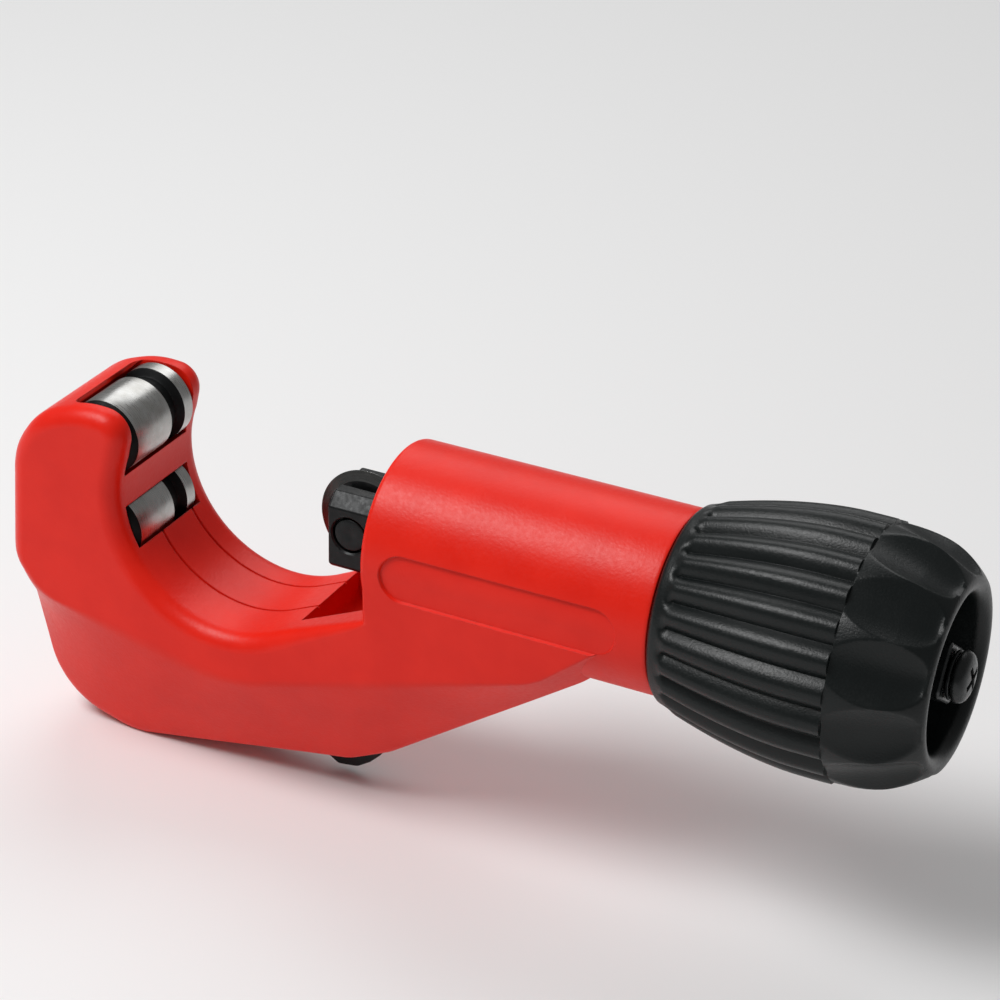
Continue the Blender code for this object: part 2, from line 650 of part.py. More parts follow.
def deburrer_blade():
    """Pointed blade with a round pivot end and a thumb tab below its tip."""
    outline = arc((0.0, 0.0), BLADE_END_R, 90, 270, 8)
    outline += [(BLADE_LENGTH - 12.5, -BLADE_END_R), (BLADE_LENGTH - 9.1, -7.2), (BLADE_LENGTH - 7.4, -8.7),
                (BLADE_LENGTH - 4.0, -8.8), (BLADE_LENGTH - 1.5, -7.7), (BLADE_LENGTH + 0.8, -6.1),
                (BLADE_LENGTH + 0.8, -3.0), (BLADE_LENGTH, 0.5), (BLADE_LENGTH - 7.0, BLADE_END_R)]
    points = [blade_point(along, up) for along, up in outline]
    blade = prism("deburrer_blade", points, -BLADE_HALF_Y, BLADE_HALF_Y, "black_steel")
    return cut(blade, drill("pivot_hole", *BLADE_PIVOT, -4, 4, BLADE_PIN_R + GAP, 24))


def deburrer_pivot_pin():
    return lathe("deburrer_pivot_pin", rod_profile(-4.7, 4.6, BLADE_PIN_R), "steel", "Y",
                 (BLADE_PIVOT[0], 0, BLADE_PIVOT[1]), 24)


def deburrer_spring():
    """Flat strip along the roof of the blade's slot that holds the blade shut."""
    outline = [blade_point(-2.0, 3.75), blade_point(38.0, 3.75), blade_point(40.0, 4.4),
               blade_point(40.0, 5.4), blade_point(-2.0, 5.4)]
    return prism("deburrer_spring", outline, -BLADE_HALF_Y, BLADE_HALF_Y)


# Assembly

def place_origin(obj, point):
    """Put an object's origin on a point without moving its mesh."""
    target = Vector(point) * MM
    obj.data.transform(Matrix.Translation(-target))
    obj.location = target


def shade(obj):
    """Smooth round surfaces but keep the edges between them."""
    for polygon in obj.data.polygons:
        polygon.use_smooth = True
    obj.data.set_sharp_from_angle(angle=math.radians(32))


def settle(pieces):
    """Move the assembly so that the middle of its underside is the origin."""
    corners = [piece.matrix_world @ vertex.co for piece in pieces for vertex in piece.data.vertices]
    low = [min(c[i] for c in corners) for i in range(3)]
    high = [max(c[i] for c in corners) for i in range(3)]
    shift = Vector((-(low[0] + high[0]) / 2, -(low[1] + high[1]) / 2, -low[2]))
    for piece in pieces:
        piece.location += shift


def main():
    clear_scene()
    wheel_axis = (WHEEL_X, 0, 0)
    upper, lower = (ROLLER_X, 0, ROLLER_Z), (ROLLER_X, 0, -ROLLER_Z)
    knob_axis = (KNOB_FRONT, 0, 0)
    blade_axis = (BLADE_PIVOT[0], 0, BLADE_PIVOT[1])
    pieces = [
        (frame_body(), (0, 0, 0)),
        (slide_block(), wheel_axis),
        (cutting_wheel(), wheel_axis),
        (wheel_pin(), wheel_axis),
        (wheel_pin_clip(), wheel_axis),
        (roller("upper_roller", ROLLER_Z), upper),
        (roller("lower_roller", -ROLLER_Z), lower),
        (roller_pin("upper_roller_pin", ROLLER_Z), upper),
        (roller_pin("lower_roller_pin", -ROLLER_Z), lower),
        (feed_spindle(), knob_axis),
        (flat_washer("inner_thrust_washer", STACK, STACK + 1.0, SCREW_R + 0.5, WASHER_R), (STACK, 0, 0)),
        (flat_washer("outer_thrust_washer", *OUTER_WASHER, JOURNAL_BORE_R, WASHER_R), (STACK, 0, 0)),
        (wave_washer(), (STACK, 0, 0)),
        (spindle_bush(), (NECK_BACK, 0, 0)),
        (bush_grub_screw(), (NECK_BACK, 0, 0)),
        (knob(), knob_axis),
        (knob_insert(), knob_axis),
        (flat_washer("knob_washer", HUB_BACK + GAP, WASHER_BACK, SHANK_R + GAP, 3.6), knob_axis),
        (knob_screw(), knob_axis),
        (deburrer_blade(), blade_axis),
        (deburrer_pivot_pin(), blade_axis),
        (deburrer_spring(), blade_axis),
    ]
    for piece, origin in pieces:
        place_origin(piece, origin)
        shade(piece)
    bpy.context.view_layer.update()
    settle([piece for piece, _ in pieces])


main()
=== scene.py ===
"""Looks of the tube cutter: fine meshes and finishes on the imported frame.

Lengths are in millimetres until a mesh is made, measured as on the tool: X runs along the handle
towards the knob, Y along the tube that is cut, Z up out of the throat, and X = Z = 0 is the middle
of a 28 mm tube in the jaw. The wheel's place in the frame says where that point is.
"""
import json
import math
from functools import partial

import bmesh
import bpy
from mathutils import Matrix, Vector


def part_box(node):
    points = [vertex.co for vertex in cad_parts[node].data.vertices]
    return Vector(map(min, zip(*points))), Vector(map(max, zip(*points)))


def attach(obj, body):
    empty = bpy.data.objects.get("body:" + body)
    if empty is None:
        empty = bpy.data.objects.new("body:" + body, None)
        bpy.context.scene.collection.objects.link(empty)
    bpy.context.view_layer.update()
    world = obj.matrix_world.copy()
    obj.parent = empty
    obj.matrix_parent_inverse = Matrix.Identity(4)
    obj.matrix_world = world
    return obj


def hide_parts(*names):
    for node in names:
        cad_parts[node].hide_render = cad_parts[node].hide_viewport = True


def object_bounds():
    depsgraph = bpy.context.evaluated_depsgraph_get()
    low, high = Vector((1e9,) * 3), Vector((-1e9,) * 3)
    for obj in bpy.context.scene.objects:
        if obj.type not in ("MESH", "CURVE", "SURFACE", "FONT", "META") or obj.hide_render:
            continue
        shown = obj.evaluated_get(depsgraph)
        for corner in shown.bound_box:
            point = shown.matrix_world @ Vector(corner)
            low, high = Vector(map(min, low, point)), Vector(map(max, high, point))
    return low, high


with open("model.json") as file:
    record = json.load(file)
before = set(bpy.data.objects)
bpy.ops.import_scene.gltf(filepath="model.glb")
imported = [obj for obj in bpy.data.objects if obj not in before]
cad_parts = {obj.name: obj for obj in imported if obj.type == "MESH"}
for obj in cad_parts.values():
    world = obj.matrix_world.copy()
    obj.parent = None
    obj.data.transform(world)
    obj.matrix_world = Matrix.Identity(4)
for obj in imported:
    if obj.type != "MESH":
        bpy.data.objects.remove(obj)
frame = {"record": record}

CAD_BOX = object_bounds()
MM = 0.001
GAP = 0.3  # air between neighbouring pieces

# Driving dimensions, as in the CAD
TUBE_R = 14.0
LARGEST_TUBE_R = 17.5
ROLLER_R = 6.0
ROLLER_X = -18.5
ROLLER_Z = 7.7
BARREL_R = 13.9
BARREL_FRONT = 28.0
BARREL_BACK = 73.8
KNOB_R = 19.2
KNOB_BACK = 115.0
WHEEL_R = 8.05
WHEEL_X = TUBE_R + WHEEL_R

# Frame
SIDE_Y = 13.6  # the arm's near side
ARM_FAR_Y = 11.0  # the arm's far side
BARREL_SIDE_Y = BARREL_R - 0.05
KEEL_DEPTH = 7.1  # from the flat sides in to the underside's edges
SWELL_X = (14.0, 28.0, 40.0)  # the sides widen from here to the barrel, near and far side
THROAT_X = math.sqrt((LARGEST_TUBE_R + ROLLER_R) ** 2 - ROLLER_Z ** 2) + ROLLER_X
THROAT_R = LARGEST_TUBE_R + 0.8
THROAT_ANGLES = (160, 294)
EDGE_R = 2.8
FRONT_EDGE_R = 0.9
BACK_CORNER = (-34.2, -12.0)
POCKET_R = ROLLER_R + 0.5
POCKET_Y = (-10.3, 7.1)
POCKET_BACK_ANGLE = 118  # the upper pocket's back wall leaves the circle here
MOUTH_ANGLE = 139  # and the wider mouth above it here
ABOVE_Z = 24.0  # clear above the arm
SLOT_FRONT = 15.5
SLOT_FLOOR_Z = -20.0
SLOT_HALF_Y = 8.8
PANEL_X = (31.4, 69.0)
PANEL_Z = (-3.9, 3.5)
PANEL_DEPTH = 0.5
NECK_R = 11.6
NECK_BACK = 97.0
BORE_BACK = 88.5
SEAT_R = 9.0
GRUB_X = NECK_BACK - 2.4
GRUB_R = 1.5

# Slide, wheel and spindle
SLIDE_HALF = 6.1
SLIDE_TOP_CHAMFER = 2.0
SLIDE_LOW_CHAMFER = 0.7
SLIDE_FRONT = WHEEL_X - 3.6
SLIDE_BACK = 76.0
WHEEL_SLOT_HALF = 2.3
WHEEL_SLOT_BACK = WHEEL_X + WHEEL_R + 0.6
WHEEL_PIN_R = 1.9
WHEEL_PIN_HEAD_R = 2.6
CLIP_R = 4.0
RETRACT = 7.2  # travel of the slide back into the barrel
ROLLER_PIN_R = 2.5
PITCH = 2.0
SCREW_R = 3.9
THREAD_DEPTH = 0.75
JOURNAL_R = 5.7
JOURNAL_BORE_R = JOURNAL_R + GAP
WASHER_R = SEAT_R - GAP
STACK = BORE_BACK + GAP
COLLAR = (STACK + 1.0 + GAP, STACK + 3.5 + GAP)
COLLAR_R = 7.8
OUTER_WASHER = (COLLAR[1] + GAP, COLLAR[1] + 1.0 + GAP)
WAVE = (OUTER_WASHER[1] + 0.6, OUTER_WASHER[1] + 1.0)
BUSH_SEAT = WAVE[1] + 0.7
SQUARE_HALF = 4.0
SQUARE_CHAMFER = 0.72
SQUARE_TURN = math.radians(55)  # how far the square is turned about the spindle
SHANK_R = 1.9
SCREW_HEAD_R = 3.85
SCREW_HEAD_HEIGHT = 2.0

# Knob
KNOB_FRONT = BARREL_BACK + GAP
COLLAR_LENGTH = 1.5  # plain ring in front of the ribs
COLLAR_DROP = 0.25  # and how far it lies below their crests
RIBS = 24
RIB_DEPTH = 1.25
RIB_END = 101.8
RIB_STEP = 0.4  # drop from the ribs' ends to the surface behind them
DENTS = 12
DENT_START_DEPTH = 0.4
DENT_DEPTH = 1.9
DENT_DEEPEST_X = 109.5
DENT_END_X = 114.4
KNOB_RECESS_R = 11.4
KNOB_WEB = (99.7, 106.2)
WEB_BORE_R = 7.4
INSERT_FRONT = 101.5
INSERT_HALF = 7.6
INSERT_CHAMFER = 2.2
INSERT_FLOOR = 1.3  # steel between the drive plate's square hole and its hub
SQUARE_BACK = KNOB_WEB[1] - INSERT_FLOOR - GAP
HUB_BACK = 113.8
WASHER_BACK = HUB_BACK + GAP + 0.5
KNOB_CAVITY_R = NECK_R + 0.6

# Deburring blade
BLADE_PIVOT = (-16.0, -40.6)
BLADE_ANGLE = math.radians(9.6)
BLADE_LENGTH = 40.0
BLADE_HALF_Y = 1.5
BLADE_PIN_R = 1.6
BLADE_END_R = 3.4  # rounding about the pivot, and half the blade's height

# View, in the same millimetres and in degrees
CAMERA_PLACE = (218.13, -354.76, 217.34)
CAMERA_AZIMUTH = 26.17
CAMERA_ELEVATION = 27.80
CAMERA_ROLL = 1.53
CAMERA_LENS = 110.7


def tool_centre():
    """Where the tool's own X = Y = Z = 0 lies in the frame."""
    low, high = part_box("cutting_wheel")
    return (low + high) / 2 - Vector((WHEEL_X, 0, 0)) * MM


ORIGIN = tool_centre()


# Finishes

class Finish:
    """A Principled material whose patterns read the piece's own coordinates in metres."""

    def __init__(self, name, colour, metallic, roughness):
        self.material = bpy.data.materials.new(name)
        self.material.use_nodes = True
        self.tree = self.material.node_tree
        self.shader = self.tree.nodes["Principled BSDF"]
        self.shader.inputs["Base Color"].default_value = (*colour, 1.0)
        self.shader.inputs["Metallic"].default_value = metallic
        self.shader.inputs["Roughness"].default_value = roughness
        self.place = self.add("ShaderNodeTexCoord").outputs["Object"]

    def add(self, kind, **values):
        node = self.tree.nodes.new(kind)
        for name, value in values.items():
            if hasattr(node, name):
                setattr(node, name, value)
            else:
                node.inputs[name.replace("_", " ")].default_value = value
        return node

    def link(self, source, target):
        self.tree.links.new(source, target)

    def noise(self, size_mm, detail=2.0, stretch=None):
        """Noise whose features are about this many millimetres across; stretch divides each axis."""
        place = self.place
        if stretch:
            scaled = self.add("ShaderNodeVectorMath", operation="MULTIPLY")
            self.link(place, scaled.inputs[0])
            scaled.inputs[1].default_value = stretch
            place = scaled.outputs["Vector"]
        node = self.add("ShaderNodeTexNoise", Scale=1 / (size_mm * MM), Detail=detail)
        self.link(place, node.inputs["Vector"])
        return node.outputs["Fac"]

    def remap(self, source, from_range, to_range):
        node = self.add("ShaderNodeMapRange")
        self.link(source, node.inputs["Value"])
        for socket, value in zip(("From Min", "From Max", "To Min", "To Max"), (*from_range, *to_range)):
            node.inputs[socket].default_value = value
        return node.outputs["Result"]

    def mix(self, factor, first, second):
        """Colour between two colours or sockets."""
        node = self.add("ShaderNodeMix", data_type="RGBA")
        self.link(factor, node.inputs["Factor"])
        for socket, value in ((node.inputs[6], first), (node.inputs[7], second)):
            if isinstance(value, tuple):
                socket.default_value = (*value, 1.0)
            else:
                self.link(value, socket)
        return node.outputs[2]

    def bump(self, height, depth_mm, normal=None):
        node = self.add("ShaderNodeBump", Strength=1.0, Distance=depth_mm * MM)
        self.link(height, node.inputs["Height"])
        if normal:
            self.link(normal, node.inputs["Normal"])
        return node.outputs["Normal"]

    def soft_edges(self, radius_mm):
        node = self.add("ShaderNodeBevel", samples=4, Radius=radius_mm * MM)
        return node.outputs["Normal"]

    def edge_mask(self, radius_mm):
        """1 on sharp edges and 0 on open faces."""
        rounded = self.soft_edges(radius_mm)
        geometry = self.add("ShaderNodeNewGeometry")
        dot = self.add("ShaderNodeVectorMath", operation="DOT_PRODUCT")
        self.link(rounded, dot.inputs[0])
        self.link(geometry.outputs["Normal"], dot.inputs[1])
        return self.remap(dot.outputs["Value"], (0.985, 0.86), (0.0, 1.0))

    def wear(self, mask, patches):
        """An edge mask broken up by noise."""
        node = self.add("ShaderNodeMath", operation="MULTIPLY")
        self.link(mask, node.inputs[0])
        self.link(patches, node.inputs[1])
        return node.outputs["Value"]

    def use(self, socket, source):
        self.link(source, self.shader.inputs[socket])


def red_enamel():
    """Satin red powder coat: fine orange peel, thin along the edges, a little dust in the film."""
    finish = Finish("red_enamel", (0.76, 0.018, 0.006), 0.0, 0.36)
    cloud = finish.remap(finish.noise(9.0, 3.0), (0.35, 0.65), (0.0, 1.0))
    body = finish.mix(cloud, (0.75, 0.013, 0.004), (0.81, 0.017, 0.006))
    patches = finish.remap(finish.noise(1.6, 3.0), (0.45, 0.62), (0.0, 0.55))
    worn = finish.wear(finish.edge_mask(0.35), patches)
    finish.use("Base Color", finish.mix(worn, body, (0.42, 0.016, 0.010)))
    finish.use("Roughness", finish.remap(finish.noise(0.7, 3.0), (0.3, 0.7), (0.32, 0.42)))
    peel = finish.bump(finish.noise(0.45, 2.0), 0.028, finish.soft_edges(0.25))
    finish.use("Normal", finish.bump(finish.noise(1.9, 1.0), 0.015, peel))
    finish.shader.inputs["Specular IOR Level"].default_value = 0.25
    return finish.material


def raw_casting():
    """Machined zinc inside the bores."""
    finish = Finish("raw_casting", (0.40, 0.40, 0.41), 1.0, 0.42)
    lines = finish.noise(0.25, 2.0, (0.05, 1.0, 1.0))
    finish.use("Roughness", finish.remap(lines, (0.3, 0.7), (0.34, 0.52)))
    finish.use("Normal", finish.bump(lines, 0.01))
    return finish.material


def grained_plastic():
    """Black moulded grip with a fine spark-eroded grain, polished a little on the high spots."""
    finish = Finish("grained_plastic", (0.005, 0.007, 0.007), 0.0, 0.35)
    grain = finish.noise(0.3, 2.0)
    cloud = finish.remap(finish.noise(7.0, 2.0), (0.35, 0.65), (0.0, 1.0))
    tint = finish.mix(cloud, (0.004, 0.006, 0.006), (0.006, 0.008, 0.008))
    patches = finish.remap(finish.noise(0.8, 2.0), (0.4, 0.65), (0.0, 0.5))
    rubbed = finish.wear(finish.edge_mask(0.3), patches)
    finish.use("Base Color", finish.mix(rubbed, tint, (0.018, 0.021, 0.021)))
    finish.use("Roughness", finish.remap(grain, (0.3, 0.7), (0.28, 0.40)))
    finish.use("Normal", finish.bump(grain, 0.032, finish.soft_edges(0.12)))
    finish.shader.inputs["Specular IOR Level"].default_value = 0.28
    return finish.material


def ground_steel(name, tone):
    """Cylindrically ground steel with fine rings round the Y axis."""
    finish = Finish(name, (tone, tone, tone * 0.98), 1.0, 0.28)
    rings = finish.noise(0.12, 2.0, (0.04, 1.0, 0.04))
    smudge = finish.remap(finish.noise(2.5, 3.0), (0.35, 0.65), (0.0, 1.0))
    light, dull = (tone * 1.08, tone * 1.08, tone * 1.06), (tone * 0.85, tone * 0.84, tone * 0.80)
    finish.use("Base Color", finish.mix(smudge, dull, light))
    finish.use("Roughness", finish.remap(rings, (0.3, 0.7), (0.25, 0.35)))
    finish.use("Normal", finish.bump(rings, 0.003, finish.soft_edges(0.1)))
    return finish.material


def turned_steel(name, tone, roughness):
    """Plain turned steel with faint tool rings round the X axis."""
    finish = Finish(name, (tone, tone, tone * 0.98), 1.0, roughness)
    rings = finish.noise(0.15, 2.0, (1.0, 0.06, 0.06))
    finish.use("Roughness", finish.remap(rings, (0.3, 0.7), (roughness - 0.06, roughness + 0.12)))
    finish.use("Normal", finish.bump(rings, 0.01, finish.soft_edges(0.1)))
    return finish.material


def black_oxide(name, tone, roughness, gloss):
    """Blackened steel that shows metal where edges rub."""
    finish = Finish(name, (tone, tone * 1.1, tone * 1.15), 0.3, roughness)
    cloud = finish.remap(finish.noise(1.8, 3.0), (0.35, 0.65), (0.0, 1.0))
    skin = finish.mix(cloud, (tone * 0.8, tone * 0.9, tone * 0.95), (tone * 1.5, tone * 1.65, tone * 1.7))
    patches = finish.remap(finish.noise(0.5, 3.0), (0.42, 0.62), (0.0, 0.8))
    bare = finish.wear(finish.edge_mask(0.22), patches)
    finish.use("Base Color", finish.mix(bare, skin, (0.08, 0.085, 0.085)))
    dull = finish.remap(finish.noise(0.6, 3.0), (0.3, 0.7), (roughness - 0.08, roughness + 0.12))
    finish.use("Roughness", dull)
    finish.use("Normal", finish.bump(finish.noise(0.22, 2.0), 0.008, finish.soft_edges(0.12)))
    finish.shader.inputs["Specular IOR Level"].default_value = gloss
    return finish.material


def turned_brass():
    finish = Finish("turned_brass", (0.62, 0.42, 0.15), 1.0, 0.3)
    rings = finish.noise(0.2, 2.0, (1.0, 0.06, 0.06))
    dull = finish.remap(finish.noise(2.0, 3.0), (0.35, 0.65), (0.0, 1.0))
    finish.use("Base Color", finish.mix(dull, (0.50, 0.33, 0.12), (0.66, 0.46, 0.18)))
    finish.use("Roughness", finish.remap(rings, (0.3, 0.7), (0.24, 0.42)))
    finish.use("Normal", finish.bump(rings, 0.012, finish.soft_edges(0.1)))
    return finish.material


RED = red_enamel()
RAW = raw_casting()
PLASTIC = grained_plastic()
GROUND = ground_steel("ground_steel", 0.46)
WHEEL_EDGE = ground_steel("wheel_edge", 0.12)
PIN = turned_steel("pin_steel", 0.46, 0.32)
SPRING = turned_steel("spring_steel", 0.26, 0.36)
OXIDE = black_oxide("black_oxide", 0.006, 0.34, 0.28)
SCREW_BLACK = black_oxide("screw_oxide", 0.012, 0.3, 0.5)
DULL_BLACK = black_oxide("dull_oxide", 0.004, 0.5, 0.15)
BRASS = turned_brass()


# Mesh helpers

def make(name, verts, faces, materials, chosen=None, sharp=32.0):
    """A piece from points in millimetres; chosen gives each face's place in the list of materials."""
    mesh = bpy.data.meshes.new(name)
    mesh.from_pydata([ORIGIN + Vector(v) * MM for v in verts], [], faces)
    for material in materials:
        mesh.materials.append(material)
    if chosen:
        mesh.polygons.foreach_set("material_index", chosen)
    mesh.update()
    piece = bpy.data.objects.new(name, mesh)
    bpy.context.scene.collection.objects.link(piece)
    outward(piece)
    shade(piece, sharp)
    return piece


def outward(piece):
    """Turn a solid's faces so that its volume is positive."""
    shape = bmesh.new()
    shape.from_mesh(piece.data)
    bmesh.ops.recalc_face_normals(shape, faces=shape.faces)
    if shape.calc_volume(signed=True) < 0:
        bmesh.ops.reverse_faces(shape, faces=shape.faces)
    shape.to_mesh(piece.data)
    shape.free()


def shade(piece, angle):
    """Smooth faces with sharp edges past an angle in degrees."""
    piece.data.shade_smooth()
    piece.data.set_sharp_from_angle(angle=math.radians(angle))


def bridge(rings, capped=True):
    """Faces joining equal rings of points in order; capped ends close a solid, else it is a ring."""
    count = len(rings[0])
    last = len(rings) - 1 if capped else len(rings)
    faces = []
    for i in range(last):
        a, b = i * count, (i + 1) % len(rings) * count
        for j in range(count):
            k = (j + 1) % count
            faces.append((a + j, a + k, b + k, b + j))
    if capped:
        faces.append(tuple(reversed(range(count))))
        faces.append(tuple(last * count + j for j in range(count)))
    return [point for ring in rings for point in ring], faces


def lathe(name, profile, material, axis="X", centre=(0.0, 0.0, 0.0), segments=96, bored=False, marks=None):
    """Turn (along, radius) pairs about an axis; a radius may be a function of the angle.

    A bored profile is a closed loop around a hole. marks maps a stretch of the profile, by the
    number of its first point, to a second material.
    """
    rings = []
    for along, radius in profile:
        ring = []
        for k in range(segments):
            angle = 2 * math.pi * k / segments
            r = radius(angle) if callable(radius) else radius
            u, v = r * math.cos(angle), r * math.sin(angle)
            local = (along, u, v) if axis == "X" else (v, along, u)
            ring.append(tuple(c + p for c, p in zip(centre, local)))
        rings.append(ring)
    verts, faces = bridge(rings, capped=not bored)
    materials, chosen = [material], None
    if marks:
        materials += sorted(set(marks.values()), key=lambda m: m.name)
        chosen = []
        for i in range(len(faces)):
            other = marks.get(i // segments)
            chosen.append(materials.index(other) if other else 0)
    return make(name, verts, faces, materials, chosen)


def rounded(profile, radius, steps=4):
    """Replace every corner of a closed loop of (along, radius) pairs with a small arc."""
    closed = [profile[-1]] + list(profile) + [profile[0]]
    return smooth_corners(closed, [radius] * len(profile), steps)[1:-1]


def arc(centre, radius, start, end, steps):
    """Points on an arc, angles in degrees from the first axis towards the second."""
    points = []
    for k in range(steps + 1):
        angle = math.radians(start + (end - start) * k / steps)
        points.append((centre[0] + radius * math.cos(angle), centre[1] + radius * math.sin(angle)))
    return points


def resample(points, count):
    """Spread a number of points evenly along a polyline."""
    lengths = [0.0]
    for a, b in zip(points, points[1:]):
        lengths.append(lengths[-1] + math.dist(a, b))
    result, i = [], 0
    for k in range(count):
        target = lengths[-1] * k / (count - 1)
        while i < len(points) - 2 and lengths[i + 1] < target:
            i += 1
        t = (target - lengths[i]) / (lengths[i + 1] - lengths[i])
        result.append(tuple(p + (q - p) * t for p, q in zip(points[i], points[i + 1])))
    return result


def smooth_corners(points, radii, steps=8):
    """Replace each inner corner of a polyline with an arc; equal radii shrink where there is no room."""
    result = [points[0]]
    for previous, corner, following, radius in zip(points, points[1:], points[2:], radii):
        p, c, f = Vector(previous), Vector(corner), Vector(following)
        a, b = (p - c).normalized(), (f - c).normalized()
        half = a.angle(b) / 2
        room = 0.49 * min((p - c).length, (f - c).length)
        reach = radius / math.tan(half)
        if radius <= 0 or half > 1.55:
            result.append(corner)
            continue
        if len(radii) > 2 and len(set(radii)) == 1 and reach > room:
            radius, reach = room * math.tan(half), room
        middle = c + (a + b).normalized() * radius / math.sin(half)
        start, end = c + a * reach - middle, c + b * reach - middle
        sweep = start.angle_signed(end)
        for k in range(steps + 1):
            turn = Matrix.Rotation(-sweep * k / steps, 2)
            result.append(tuple(middle + turn @ start))
    result.append(points[-1])
    return result


def prism(name, outline, low, high, material, grow=0.0):
    """Extrude an outline of (x, z) pairs along Y; grow pushes the high end's outline outwards."""
    wide = offset_loop(outline, grow) if grow else outline
    rings = [[(x, low, z) for x, z in outline], [(x, high, z) for x, z in wide]]
    verts, faces = bridge(rings)
    return make(name, verts, faces, [material])


def eased_ends(start, end, edge, steps):
    """(place, pull-in) pairs along an extrusion whose ends are rounded."""
    if not edge:
        return [(start, 0.0), (end, 0.0)]
    turns = [math.pi / 2 * k / steps for k in range(steps + 1)]
    ease = [(edge * (1 - math.cos(t)), edge * (1 - math.sin(t))) for t in turns]
    return [(start + a, b) for a, b in ease] + [(end - a, b) for a, b in reversed(ease)]


def plate(name, outline, low, high, edge, material, steps=3):
    """Extrude an outline of (x, z) pairs along Y, with rounded ends."""
    rings = [[(x, y, z) for x, z in offset_loop(outline, -pull)]
             for y, pull in eased_ends(low, high, edge, steps)]
    verts, faces = bridge(rings)
    return make(name, verts, faces, [material])


def bar(name, outline, start, end, material, edge=0.0, steps=3):
    """Extrude an outline of (y, z) pairs along X, with rounded ends."""
    rings = [[(x, y, z) for y, z in offset_loop(outline, -pull)]
             for x, pull in eased_ends(start, end, edge, steps)]
    verts, faces = bridge(rings)
    return make(name, verts, faces, [material])


def offset_loop(outline, amount):
    """Push a closed outline outwards by an amount, or inwards if it is negative."""
    if not amount:
        return list(outline)
    area = sum(a[0] * b[1] - b[0] * a[1] for a, b in zip(outline, outline[1:] + outline[:1]))
    side = math.copysign(1.0, area)
    result = []
    for i, point in enumerate(outline):
        before, after = outline[i - 1], outline[(i + 1) % len(outline)]
        p, b, a = Vector(point), Vector(before), Vector(after)
        first, second = (p - b).normalized(), (a - p).normalized()
        normal = Vector((first.y + second.y, -first.x - second.x)).normalized() * side
        lean = max(normal.dot(Vector((first.y, -first.x)) * side), 0.5)
        result.append(tuple(p + normal * amount / lean))
    return result


def box_outline(low, high):
    return [(low[0], low[1]), (high[0], low[1]), (high[0], high[1]), (low[0], high[1])]


def slide_outline(half, corner=0.0):
    """Section of the slide: wide chamfers at the top, narrow ones below, edges softened."""
    high, deep = half - SLIDE_TOP_CHAMFER, half - SLIDE_LOW_CHAMFER
    points = [(-deep, -half), (deep, -half), (half, -deep), (half, high),
              (high, half), (-high, half), (-half, high), (-half, -deep)]
    return rounded(points, corner, 3) if corner else points


def drill(name, x, z, low, high, radius, material, flare=0.0):
    """Round cutter along Y with a countersunk mouth at its high end."""
    profile = [(low, radius), (high, radius)]
    if flare:
        profile = [(low, radius), (high - flare, radius), (high, radius + flare), (high + 3, radius + flare)]
    return lathe(name, profile, material, "Y", (x, 0, z))


def combine(body, others, operation):
    """Join or cut closed solids that don't touch each other; cut faces take the tools' materials."""
    group = bpy.data.collections.new("tools")
    for other in others:
        group.objects.link(other)
    step = body.modifiers.new(operation, "BOOLEAN")
    step.operation = operation
    step.solver = "EXACT"
    step.operand_type = "COLLECTION"
    step.collection = group
    step.material_mode = "TRANSFER"
    bpy.context.view_layer.update()
    graph = bpy.context.evaluated_depsgraph_get()
    mesh = bpy.data.meshes.new_from_object(body.evaluated_get(graph))
    body.modifiers.clear()
    body.data = mesh
    for other in list(others):
        bpy.data.objects.remove(other, do_unlink=True)
    bpy.data.collections.remove(group)
    return body


def cut(body, *tools):
    return combine(body, tools, "DIFFERENCE")


def even_shading(piece, angle=32.0):
    """Let wide faces set the normals that they share with narrow ones."""
    shade(piece, angle)
    step = piece.modifiers.new("even_shading", "WEIGHTED_NORMAL")
    step.keep_sharp = True
    step.weight = 50
    return piece


# Frame

def rim_curve():
    """Upper edge of the casting as (x, z, edge rounding); it ends inside the barrel."""
    throat = arc((THROAT_X, 0.0), THROAT_R, *THROAT_ANGLES, 72)
    corners = [BACK_CORNER, (-33.3, 4.2), (-28.6, 10.9), (-20.5, 13.8), (-12.0, 13.2), throat[0]]
    shoulder = smooth_corners(corners, (12.0, 12.0, 16.0, 4.0), steps=14)[:-1]
    hidden_x = BARREL_FRONT + 0.4
    climb = math.tan(math.radians(THROAT_ANGLES[1] - 270))
    start_x, start_z = throat[-1]
    rise = []
    for k in range(1, 13):
        t = k / 12
        x = start_x + (hidden_x - start_x) * t
        rise.append((x, start_z + (x - start_x) * climb, EDGE_R + (FRONT_EDGE_R - EDGE_R) * t))
    inside = [(hidden_x, 0.5, FRONT_EDGE_R), (66.0, 0.5, FRONT_EDGE_R)]
    return [(x, z, EDGE_R) for x, z in shoulder + throat] + rise + inside


def ledge_curve():
    """Lower edge of the flat sides, from the barrel round under the throat to the arm's back."""
    band = arc((THROAT_X, 0.0), 25.9, -73, -100, 16)
    right = smooth_corners([band[0], (56.5, -11.4), (66.0, -3.6)], (14.0,), steps=12)
    back = smooth_corners([band[-1], (-29.6, -20.2), (-34.1, -14.9), BACK_CORNER], (9.0, 5.0), steps=10)
    return list(reversed(right)) + band[1:] + back[1:]


def keel_curve():
    """Underside of the casting, from the barrel down the web and up the back of the arm."""
    points = [(66.0, -8.9), (61.5, -13.2), (29.5, -35.3), (22.3, -38.7), (-17.0, -45.7),
              (-30.6, -41.8), (-35.0, -22.0), BACK_CORNER]
    return smooth_corners(points, (16.0, 12.0, 8.0, 12.0, 13.0, 10.0), steps=10)


